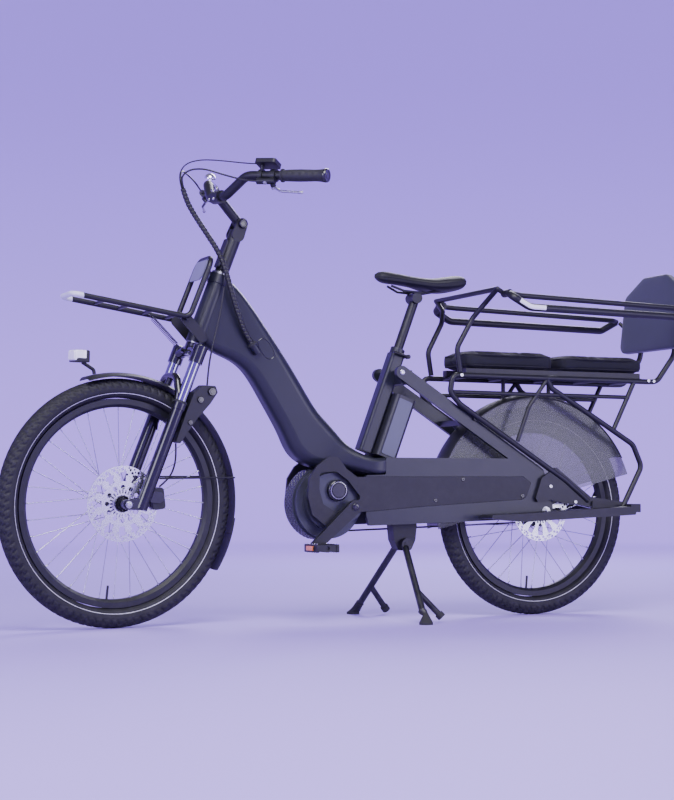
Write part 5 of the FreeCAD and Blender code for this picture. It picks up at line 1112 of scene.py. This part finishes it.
class BICYCLE_OT_hoses(bpy.types.Operator):
    """Brake hoses, display lead and the spiral-wrapped bundle, with two fork hoses that ride on the fork"""
    bl_idname = "bicycle.hoses"
    bl_label = "Hoses"

    def execute(self, context):
        sizes = context.scene.bicycle_trim
        bundle = [from_rear(*p) for p in (
            (1.110, 0.024, 1.192), (1.098, 0.020, 1.160), (1.081, 0.020, 1.131), (1.046, 0.028, 1.077),
            (1.009, 0.038, 1.020), (0.990, 0.046, 0.964), (0.975, 0.050, 0.905), (0.956, 0.050, 0.850),
            (0.936, 0.048, 0.800), (0.914, 0.046, 0.771))]
        up = unit(bundle[0] - bundle[1])
        meet = bundle[0] + up * 0.0003
        beside = np.array([up[2], 0, -up[0]])
        level_side = unit(LEFTWARD - up * up[1])

        def entry(side, ahead):
            """Last two points of a hose, straight into the bundle's end."""
            spot = meet + level_side * side + beside * ahead
            return [spot + up * 0.019, spot]

        droop = math.radians(40)
        reach = 0.152 + 0.0403

        def tank(back, side):
            """Place on a brake body's drooping fitting, back along the grip."""
            return on_grip(back, side, 0.027 * math.cos(droop), -0.027 * math.sin(droop))

        left = [tank(reach, 1), tank(reach + 0.030, 1)]
        left += [from_rear(*p) for p in ((1.020, 0.096, 1.226), (1.062, 0.070, 1.243), (1.096, 0.048, 1.243),
                                         (1.115, 0.034, 1.228))] + entry(0.0037, -0.001)
        right = [tank(reach, -1), tank(reach + 0.030, -1)]
        right += [from_rear(*p)
                  for p in ((1.040, -0.076, 1.232), (1.078, -0.038, 1.245), (1.102, -0.006, 1.247),
                                          (1.114, 0.014, 1.234))] + entry(-0.0037, -0.001)
        tilt = unit(np.array([GRIP_RUN[1], -GRIP_RUN[0], 0])) * math.cos(0.35) + UP * math.sin(0.35)
        tilt, run = (at_rest(STEER_FOOT + d) - at_rest(STEER_FOOT) for d in (tilt, GRIP_RUN))
        seat = on_grip(0.173, 1, 0.001, 0.027)
        case_end = seat - run * 0.0313 + np.cross(tilt, run) * 0.006
        lead = [case_end, case_end - run * 0.026]
        lead += [from_rear(*p) for p in ((1.030, 0.078, 1.268), (1.072, 0.054, 1.270), (1.106, 0.036, 1.260),
                                         (1.121, 0.027, 1.236))] + entry(0.0003, 0.0036)
        for name, route, radius in (("left_hose", left, sizes.hose), ("right_hose", right, sizes.hose),
                                    ("display_lead", lead, sizes.hose - 0.0007)):
            made = piece(name, [tube(smooth_line(route), radius, 12)], None,
                         FINISHES["hose_rubber"],
                         replaces=("control_hoses",))
            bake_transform(made)
        fork = [from_rear(*p) for p in ((1.001, 0.056, 0.925), (1.008, 0.060, 0.880), (1.018, 0.063, 0.835),
                                        (1.030, 0.065, 0.790), (1.041, 0.066, 0.745), (1.048, 0.063, 0.700),
                                        (1.050, 0.0585, 0.6534))]
        unit_route = [from_rear(*p)
                      for p in ((1.140, 0.062, 0.4949), (1.138, 0.060, 0.466), (1.139, 0.052, 0.436),
                                              (1.147, 0.046, 0.410), (1.163, 0.043, 0.391),
                                              (1.1791, 0.04348, 0.37835))]
        piece("fork_hose", [tube(smooth_line(fork), sizes.hose, 12)], "steering",
              FINISHES["hose_rubber"])
        piece("unit_hose", [tube(smooth_line(unit_route), sizes.hose, 12)], "fork_lower",
              FINISHES["hose_rubber"])

        def wrap(s, angle):
            """Spiral wrap: a flat band with a groove beside it, once round in one pitch."""
            phase = (s / sizes.wrap_pitch + angle / (2 * math.pi)) % 1.0
            return -0.0016 * np.clip((np.abs(phase - 0.5) - 0.36) * 12, 0, 1)

        path = resampled(smooth_line(bundle), 560)
        made = piece("wrapped_bundle", [tube(path, sizes.wrap, 20, wrap)], None,
                     FINISHES["hose_rubber"], replaces=("hose_bundle",), crease=60)
        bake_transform(made)
        return {"FINISHED"}


class BICYCLE_OT_cockpit_details(bpy.types.Operator):
    """Pivot cap, bar clamp bolts, display glass and brake tank caps"""
    bl_idname = "bicycle.cockpit_details"
    bl_label = "Cockpit details"

    def execute(self, context):
        caps, bolts, lids = [], [], []
        for side in SIDES:
            at = STEM_PIVOT + STEM_AXIS * side * 0.0241
            ring = [(0, 0.0006), (0.0052, 0.0006), (0.0058, 0.0022), (0.0075, 0.0022), (0.0085, 0.001),
                    (0.0112, 0.001), (0.0124, 0.002), (0.0131, 0.0006), (0.0131, -0.003), (0, -0.003)]
            caps.append(revolve(ring, at, STEM_AXIS * side, 48))
            for fore in (-0.014, 0.014):
                clamp = at_rest(from_rear(1.003, side * 0.0135, 1.178))
                rise = turned(UP, STEM_AXIS, math.radians(-20))
                ahead = np.cross(STEM_AXIS, rise)
                bolts.append(bolt(clamp + ahead * 0.0172 + rise * fore, ahead, 0.0042, 0.0034, 0.55))
            droop = math.radians(40)
            lid_at = on_grip(0.165, side, 0.027 * math.cos(droop), -0.027 * math.sin(droop))
            axis = unit(on_grip(0.165, side, 0.127 * math.cos(droop), -0.127 * math.sin(droop)) - lid_at)
            lids.append(bolt(lid_at + axis * 0.0088, axis, 0.0052, 0.0016, 0.4))
        piece("pivot_caps", caps, "cockpit", FINISHES["gloss_black"])
        piece("clamp_bolts", bolts + lids, "cockpit", FINISHES["bright_steel"])
        tilt = unit(np.array([GRIP_RUN[1], -GRIP_RUN[0], 0])) * math.cos(0.35) + UP * math.sin(0.35)
        tilt, run = (at_rest(STEER_FOOT + d) - at_rest(STEER_FOOT) for d in (tilt, GRIP_RUN))
        seat = on_grip(0.173, 1, 0.001, 0.027)
        normal = unit(np.cross(tilt, run))
        glass = pillow(rounded_outline(0.024, 0.052, 0.004), seat + normal * 0.0122 + tilt * 0.006, tilt, run,
                       normal, 0.0012, 0.3)
        piece("display_glass", [glass], "cockpit", FINISHES["display_glass"])
        return {"FINISHED"}


# ---------------------------------------------------------------- frame and drive
class BICYCLE_OT_frame_details(bpy.types.Operator):
    """Power button, hose port, cover screws and joint bolts"""
    bl_idname = "bicycle.frame_details"
    bl_label = "Frame details"

    def execute(self, context):
        port_at = from_rear(0.914, 0.046, 0.771)
        inward = unit(port_at - from_rear(0.936, 0.048, 0.800))
        lip = [(0.0079, -0.004), (0.0125, -0.0015), (0.0135, 0.0025), (0.0125, 0.005), (0.0079, 0.005),
               (0.0079, -0.004)]
        piece("hose_port", [revolve(lip, port_at, inward, 40)], "frame", FINISHES["soft_rubber"])
        beam = NODES["down_tube"]
        along = unit(np.array([-0.56, 0, -0.83]))
        wide = np.cross(along, LEFTWARD)
        middle = from_rear(0.869, 0.2, 0.760)
        outline = []
        for turn in np.linspace(0, 2 * math.pi, 72, endpoint=False):
            start = (middle + along * 0.031 * power(np.cos(turn), 0.8)
                     + wide * 0.0165 * power(np.sin(turn), 0.8))
            hit, place, _, _ = beam.ray_cast(start.tolist(), (0, -1, 0))
            if hit:
                outline.append(place)
        outline = np.array(outline + outline[:1])
        piece("power_button", [tube(outline, 0.0011, 8, closed=True)], "frame",
              FINISHES["gloss_black"])
        screws = []
        for side in SIDES:
            for x, level in ((0.277, 0.400), (0.366, 0.340), (0.080, 0.352)):
                screws.append(bolt(from_rear(x, side * 0.0841, level), LEFTWARD * side, 0.0052, 0.0026))
        piece("cover_screws", screws, "frame", FINISHES["gloss_black"])
        bright = []
        for side in SIDES:
            out = LEFTWARD * side
            bright.append(bolt(from_rear(0.470, side * 0.0821, 0.704), out, 0.0075, 0.003))
            bright.append(bolt(from_rear(0.197, side * 0.2251, 0.930), out, 0.0062, 0.003))
            for x, level in ((-0.352, 0.6995), (-0.371, 0.6985)):
                bright.append(bolt(from_rear(x, side * 0.0998, level), out, 0.0048, 0.003))
            for x, level in ((0.289, 0.700), (-0.010, 0.380), (-0.095, 0.334), (-0.220, 0.326)):
                bright.append(bolt(from_rear(x, side * (0.1003 if x > 0.2 else 0.0943), level), out, 0.0052,
                                   0.003))
        piece("joint_bolts", bright, "frame", FINISHES["bright_steel"])
        return {"FINISHED"}


class BICYCLE_OT_motor_details(bpy.types.Operator):
    """Stepped cap, perforated guard and crank bolts"""
    bl_idname = "bicycle.motor_details"
    bl_label = "Motor details"

    def execute(self, context):
        face = from_rear(0.667, 0.0781, 0.368)
        cap = [(0, 0.0022), (0.0185, 0.0022), (0.0195, 0.001), (0.0215, 0.001), (0.0225, 0.0028),
               (0.0262, 0.0028),
               (0.0285, 0.0014), (0.0306, -0.002), (0.0306, -0.012), (0, -0.012)]
        piece("motor_cap", [revolve(cap, face, LEFTWARD, 72)], "frame",
              FINISHES["gloss_black"])
        bezel = [(0.0218, 0.0012), (0.0230, 0.0030), (0.0238, 0.0030), (0.0246, 0.0024), (0.0218, 0.0012)]
        piece("motor_cap_ring", [revolve(bezel, face, LEFTWARD, 72)], "frame",
              FINISHES["bright_steel"])
        centre = from_rear(0.682, 0, 0.333)
        studs = []
        for row, y in enumerate((-0.021, -0.0105, 0, 0.0105, 0.021)):
            for k in range(19):
                angle = math.radians(-70 + k * 6.9 + (row % 2) * 3.45)
                out = np.array([math.cos(angle), 0, math.sin(angle)])
                at = centre + out * 0.1055 + LEFTWARD * y
                ring = [(0.0021, 0.0001), (0.0028, 0.0009), (0.0038, 0.0009), (0.0043, 0.0), (0.0021, 0.0001)]
                studs.append(revolve(ring, at, out, 10))
        piece("guard_grommets", studs, "frame", FINISHES["gloss_black"])
        bolts = []
        for side in SIDES:
            bolts.append(bolt(CRANK + LEFTWARD * side * 0.1052, LEFTWARD * side, 0.0098, 0.003, 0.45))
        piece("crank_bolts", bolts, "crank", FINISHES["gloss_black"])
        return {"FINISHED"}


class BICYCLE_OT_reflectors(bpy.types.Operator):
    """Pale strips on the rails' front bends and amber lenses on the pedals"""
    bl_idname = "bicycle.reflectors"
    bl_label = "Reflectors"

    def execute(self, context):
        strips = []
        for side in SIDES:
            points = [from_rear(x, side * y, level) for x, y, level in (
                (0.098, 0.245, 0.8881), (0.146, 0.245, 0.889), (0.196, 0.241, 0.916))]
            path = bent_path(points, [0.045])[:-6]
            tangent, _, _ = carried(path)
            out = np.tile(LEFTWARD * side, (len(path), 1))
            out = unit(out - tangent * np.sum(out * tangent, axis=1, keepdims=True))
            other = np.cross(tangent, out)
            angle = np.linspace(-0.62, 0.62, 13)
            reach = np.r_[np.full(13, 0.01145), np.full(13, 0.0109), 0.01145]
            swing = np.r_[angle, angle[::-1], angle[0]]
            points = path[:, None] + reach[None, :, None] * (np.cos(swing)[None, :, None] * out[:, None]
                                                              + np.sin(swing)[None, :, None] * other[:, None])
            middle = points.mean(axis=1, keepdims=True)
            ends = [np.repeat(middle[k][None], points.shape[1], axis=1) for k in (0, -1)]
            strips.append(shell(np.concatenate([ends[0], points, ends[1]])))
        piece("rail_strips", strips, "frame", FINISHES["reflective_strip"])
        for name, body in (("pedal_left", "left_pedal"), ("pedal_right", "right_pedal")):
            low, high = corners(name)
            middle = (low + high) / 2
            shells = []
            for end in SIDES:
                face = middle + FORWARD * end * ((high[0] - low[0]) / 2 - 0.0005)
                shells.append(pillow(rounded_outline(0.046, 0.0125, 0.002), face, LEFTWARD, UP, FORWARD * end,
                                     0.0036, 0.2))
            piece(name + "_lenses", shells, body, FINISHES["amber_reflector"])
            pins = []
            for level in SIDES:
                for sx in SIDES:
                    for k in range(5):
                        at = middle + FORWARD * sx * 0.0285 + LEFTWARD * (k - 2) * 0.016 + UP * level * 0.0108
                        pins.append(revolve([(0, 0.0022), (0.0013, 0.0022), (0.0016, 0.0016), (0.0016, 0),
                                             (0, 0)], at, UP * level, 10))
            piece(name + "_pins", pins, body, FINISHES["bright_steel"])
        return {"FINISHED"}


# ---------------------------------------------------------------- padding
def cushion_start(node, inset):
    """Rounded block inside a CAD cushion, remeshed ready for swelling."""
    low, high = corners(node)
    half = (high - low) / 2 - inset
    made = bpy.data.objects.new(node + "_work", build_mesh(node + "_work", [
        rounded_box((low + high) / 2, half, flat=0.22, rows=48, cols=96)]))
    bpy.context.scene.collection.objects.link(made)
    return made


def swell(work, sizes):
    """Remesh, inflate as cloth with no gravity, cap the movement and apply everything."""
    bpy.context.view_layer.objects.active = work
    remesh = work.modifiers.new("cells", "REMESH")
    remesh.mode = "VOXEL"
    remesh.voxel_size = sizes.voxel
    depsgraph = bpy.context.evaluated_depsgraph_get()
    flat = bpy.data.meshes.new_from_object(work.evaluated_get(depsgraph))
    work.modifiers.clear()
    work.data = flat
    before = np.empty(len(flat.vertices) * 3)
    flat.vertices.foreach_get("co", before)
    after = before
    cloth = work.modifiers.new("cloth", "CLOTH")
    settings = cloth.settings
    settings.use_pressure = True
    settings.uniform_pressure_force = sizes.pressure
    settings.effector_weights.gravity = 0
    settings.quality = 6
    settings.tension_stiffness = 12
    settings.compression_stiffness = 12
    settings.bending_stiffness = 0.5
    cloth.point_cache.frame_start = 1
    cloth.point_cache.frame_end = 20
    scene = bpy.context.scene
    for step in range(1, 21):
        scene.frame_set(step)
    depsgraph = bpy.context.evaluated_depsgraph_get()
    swollen = work.evaluated_get(depsgraph).to_mesh()
    after = np.empty(len(swollen.vertices) * 3)
    swollen.vertices.foreach_get("co", after)
    work.evaluated_get(depsgraph).to_mesh_clear()
    work.modifiers.clear()
    scene.frame_set(1)
    before, after = before.reshape(-1, 3), after.reshape(-1, 3)
    move = after - before
    size = np.linalg.norm(move, axis=1, keepdims=True)
    return before + move * np.minimum(1, sizes.cap / np.maximum(size, 1e-9))


def finish_cushion(node, body, sizes, channels):
    """Swollen cushion with sewn channels pressed in and piping round both edges."""
    low, high = corners(node)
    work = cushion_start(node, sizes.shrink)
    points = swell(work, sizes)
    level = (low[2] + high[2]) / 2
    for share in channels:
        line_x = low[0] + (high[0] - low[0]) * share
        near = np.exp(-((points[:, 0] - line_x) / 0.0045) ** 2)
        inside = np.clip((points[:, 2] - level) / 0.012, 0, 1)
        points[:, 2] -= sizes.channel * near * inside
    points[:, 2] = np.maximum(points[:, 2], low[2] + 0.0003)
    points = np.clip(points, low - 0.002, high + 0.004)
    work.data.vertices.foreach_set("co", points.ravel())
    work.data.update()
    work.data.polygons.foreach_set("use_smooth", np.ones(len(work.data.polygons), bool))
    refine = work.modifiers.new("refine", "SUBSURF")
    refine.levels = 1
    refine.render_levels = 1
    work.name = node + "_sewn"
    work.data.materials.clear()
    work.data.materials.append(FINISHES["cushion_cloth"])
    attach(work, body)
    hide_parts(node)
    cords = []
    centre = (low + high) / 2
    turn = np.linspace(0, 2 * math.pi, 721)
    for lift in (0.3, -0.32):
        height = centre[2] + (high[2] - low[2]) * lift
        band = np.abs(points[np.abs(points[:, 2] - height) < 0.006] - centre).max(axis=0)
        path = np.stack([centre[0] + (band[0] - 0.0012) * power(np.cos(turn), 0.24),
                         centre[1] + (band[1] - 0.0012) * power(np.sin(turn), 0.24), np.full(721, height)],
                        -1)
        cords.append(tube(resampled(path, 300), sizes.piping, 10, closed=True))
    piece(node + "_piping", cords, body, FINISHES["webbing"])


class BICYCLE_OT_cushions(bpy.types.Operator):
    """Sewn seat cushions, swelled by cloth pressure, with piping"""
    bl_idname = "bicycle.cushions"
    bl_label = "Seat cushions"

    def execute(self, context):
        sizes = context.scene.bicycle_padding
        finish_cushion("seat_cushion_front", "frame", sizes, (0.36,))
        finish_cushion("seat_cushion_rear", "frame", sizes, (0.62,))
        return {"FINISHED"}


class BICYCLE_OT_backrest(bpy.types.Operator):
    """Moulded backrest with cut upper corners and a crowned face"""
    bl_idname = "bicycle.backrest"
    bl_label = "Backrest"

    def execute(self, context):
        low, high = corners("backrest_pad")
        lean = math.radians(7)
        tilt = np.array([-math.sin(lean), 0, math.cos(lean)])
        normal = np.cross(LEFTWARD, tilt)
        centre = (low + high) / 2
        sharp = np.array([(-161, -120), (161, -120), (161, 62), (64, 120), (-64, 120), (-161, 62)]) / 1000
        flat = [np.array([*p, 0]) for p in sharp]
        seam = (flat[0] + flat[-1]) / 2
        path = bent_path([seam, *flat, seam], [0.026] * len(flat), 0.004)
        outline = path[:-1, :2] * 0.985
        pad = piece("backrest_foam",
                    [pillow(outline, centre, LEFTWARD, tilt, normal, 0.032, 0.3, 0.0015, 16)],
                    "frame", FINISHES["backrest_skin"], replaces=("backrest_pad",), crease=80)
        return {"FINISHED"}


class BICYCLE_OT_saddle(bpy.types.Operator):
    """Saddle: width, height and drop follow smooth curves along its length, with a middle channel"""
    bl_idname = "bicycle.saddle"
    bl_label = "Saddle"

    def execute(self, context):
        knots = [0.243, 0.262, 0.300, 0.345, 0.400, 0.455, 0.500, 0.5185]
        width = [0.118, 0.146, 0.153, 0.122, 0.072, 0.049, 0.039, 0.020]
        top = [0.9905, 0.9955, 0.9915, 0.9850, 0.9890, 0.9960, 0.9985, 0.9940]
        drop = [0.032, 0.043, 0.046, 0.038, 0.032, 0.033, 0.030, 0.016]
        x = 0.243 + (0.5185 - 0.243) * (0.5 - 0.5 * np.cos(np.linspace(0, math.pi, 84)))
        w, h, d = (hermite(x, knots, values) for values in (width, top, drop))
        ends = np.sqrt(np.clip(np.minimum((x - 0.2425) / 0.014, (0.519 - x) / 0.012), 0, 1))
        w = w * ends
        a = np.linspace(0, 2 * math.pi, 65)[None, :]
        side = power(np.cos(a), 0.8) * w[:, None] / 2
        raised = np.where(np.sin(a) > 0, power(np.sin(a), 0.75) * 0.35, power(np.sin(a), 0.6) * 0.65)
        fall = (side / np.maximum(w[:, None] / 2, 1e-6)) ** 2 * 0.006
        level = (h - 0.35 * d)[:, None] + raised * (d * ends)[:, None] - fall * (np.sin(a) > -0.2)
        groove = (0.0035 * np.exp(-(side / 0.008) ** 2) * (np.sin(a) > 0)
                  * np.exp(-((x[:, None] - 0.36) / 0.07) ** 4))
        points = np.stack([np.broadcast_to(x[:, None], side.shape) + REAR_CENTRE[0], side, level - groove],
                          -1)
        caps = [np.repeat(points[k].mean(axis=0)[None, None], 65, axis=1) for k in (0, -1)]
        made = piece("saddle_shell", [shell(np.concatenate([caps[0], points, caps[1]]))], "saddle_post",
                     FINISHES["saddle_cover"], replaces=("saddle",), crease=75)
        seam = []
        for s in SIDES:
            keep = slice(6, -6)
            y = s * w[keep] / 2
            z = (h - 0.35 * d)[keep] - 0.006
            seam.append(tube(np.stack([x[keep] + REAR_CENTRE[0], y, z], -1), 0.0011, 8))
        piece("saddle_seams", seam, "saddle_post", FINISHES["webbing"])
        return {"FINISHED"}


# ---------------------------------------------------------------- stage
class BICYCLE_OT_stage(bpy.types.Operator):
    """Pale seamless floor with a painted glow far out that fades upward, soft lights and the camera"""
    bl_idname = "bicycle.stage"
    bl_label = "Stage"

    def execute(self, context):
        studio = context.scene.bicycle_studio
        bend = np.linspace(0, math.pi / 2, 20)
        rise = 3.0
        profile = np.concatenate([[(0, 0)], np.stack([np.linspace(0.5, studio.radius, 12), np.zeros(12)], -1),
                                  np.stack([studio.radius + rise * np.sin(bend), rise * (1 - np.cos(bend))],
                                           -1),
                                  [(studio.radius + rise, 8.0)]])
        floor = bpy.data.objects.new("studio_floor", build_mesh("studio_floor", [
            revolve(profile, (0, 0, 0), UP, 96)], 60))
        context.scene.collection.objects.link(floor)
        paper = Finish("studio_paper", tuple(studio.floor), 0.75, spread=0.015, scale=0.6, rub=0.05,
                       grain=60.0,
                       bump=0.02)
        # Painted light: the far floor and the rising wall glow in the backdrop colour, from none near the
        # bicycle to full far out, fading upward to 0.42 of it by 4.2 m, in place of lamps lighting the
        # backdrop unevenly
        place = add(paper.tree, "ShaderNodeSeparateXYZ", {0: paper.vector}).outputs
        reach = calc(paper.tree, "SQRT",
                     calc(paper.tree, "ADD", calc(paper.tree, "MULTIPLY", place[0], place[0]),
                                              calc(paper.tree, "MULTIPLY", place[1], place[1])))
        far = add(paper.tree, "ShaderNodeMapRange", {0: reach, 1: 1.5, 2: 9.0, 3: 0.0, 4: 1.0},
                  interpolation_type="SMOOTHSTEP").outputs[0]
        high = add(paper.tree, "ShaderNodeMapRange", {0: place[2], 1: 0.2, 2: 4.2, 3: 1.0, 4: 0.42},
                   interpolation_type="SMOOTHSTEP").outputs[0]
        glow = vector_calc(paper.tree, "SCALE", tuple(studio.glow))
        paper.tree.links.new(calc(paper.tree, "MULTIPLY", far, high), glow.node.inputs["Scale"])
        paper.tree.links.new(glow, paper.shader.inputs["Emission Color"])
        paper.shader.inputs["Emission Strength"].default_value = 1.0
        floor.data.materials.append(paper.done())
        world = bpy.data.worlds.new("studio_air")
        context.scene.world = world
        world.use_nodes = True
        world.node_tree.nodes["Background"].inputs[0].default_value = (0.62, 0.53, 0.92, 1)
        world.node_tree.nodes["Background"].inputs[1].default_value = 0.42
        for name, place, size, power_share, tint in (
                ("key", (1.2, 3.2, 4.2), 3.2, 1.0, (1.0, 0.99, 1.0)),
                ("fill", (4.6, 2.6, 2.0), 2.6, 0.42, (0.86, 0.85, 1.0)),
                ("rim", (-2.6, -3.4, 3.6), 2.8, 0.75, (0.9, 0.88, 1.0)),
                ("low", (-2.8, 4.2, 1.2), 2.2, 0.22, (0.9, 0.88, 1.0))):
            light = bpy.data.lights.new(name, "AREA")
            light.shape = "DISK"
            light.size = size
            light.energy = studio.key * power_share
            light.color = tint
            lamp = bpy.data.objects.new(name, light)
            lamp.location = place
            lamp.rotation_euler = (Vector((0, 0, 0.55)) - Vector(place)).to_track_quat("-Z", "Y").to_euler()
            context.scene.collection.objects.link(lamp)
        lens = bpy.data.cameras.new("view")
        lens.sensor_width = 36.0
        lens.lens = studio.lens
        lens.shift_x = -0.05375
        lens.clip_end = 60
        camera = bpy.data.objects.new("view", lens)
        camera.location = (2.1763, 4.6838, 0.3715)
        look = Vector((-0.43078, -0.90111, 0.04928))
        camera.rotation_euler = look.to_track_quat("-Z", "Y").to_euler()
        context.scene.collection.objects.link(camera)
        context.scene.camera = camera
        return {"FINISHED"}


# ---------------------------------------------------------------- add-on
STEPS = (BICYCLE_OT_finishes, BICYCLE_OT_stage, BICYCLE_OT_tyres, BICYCLE_OT_rims, BICYCLE_OT_coil,
         BICYCLE_OT_lamp, BICYCLE_OT_fork_details, BICYCLE_OT_grips, BICYCLE_OT_hoses,
         BICYCLE_OT_cockpit_details, BICYCLE_OT_frame_details, BICYCLE_OT_motor_details,
         BICYCLE_OT_reflectors, BICYCLE_OT_cushions, BICYCLE_OT_backrest, BICYCLE_OT_saddle)


class BICYCLE_PT_looks(bpy.types.Panel):
    """Lists the pieces in the order they are made"""
    bl_idname = "BICYCLE_PT_looks"
    bl_label = "Cargo bicycle"
    bl_space_type = "VIEW_3D"
    bl_region_type = "UI"
    bl_category = "Bicycle"

    def draw(self, context):
        for step in STEPS:
            self.layout.operator(step.bl_idname)


SETTINGS = {"bicycle_wheels": WheelSettings, "bicycle_trim": TrimSettings, "bicycle_padding": PaddingSettings,
            "bicycle_finish": FinishSettings, "bicycle_studio": StudioSettings}


def register():
    """Registers the settings, the operators and the panel."""
    for name, settings in SETTINGS.items():
        bpy.utils.register_class(settings)
        setattr(bpy.types.Scene, name, bpy.props.PointerProperty(type=settings))
    for step in (*STEPS, BICYCLE_PT_looks):
        bpy.utils.register_class(step)


def unregister():
    """Takes everything back out."""
    for step in (*STEPS, BICYCLE_PT_looks):
        bpy.utils.unregister_class(step)
    for name, settings in SETTINGS.items():
        delattr(bpy.types.Scene, name)
        bpy.utils.unregister_class(settings)


def main():
    """Makes every piece."""
    register()
    for step in STEPS:
        area, name = step.bl_idname.split(".")
        getattr(getattr(bpy.ops, area), name)()


if __name__ == "__main__":
    main()
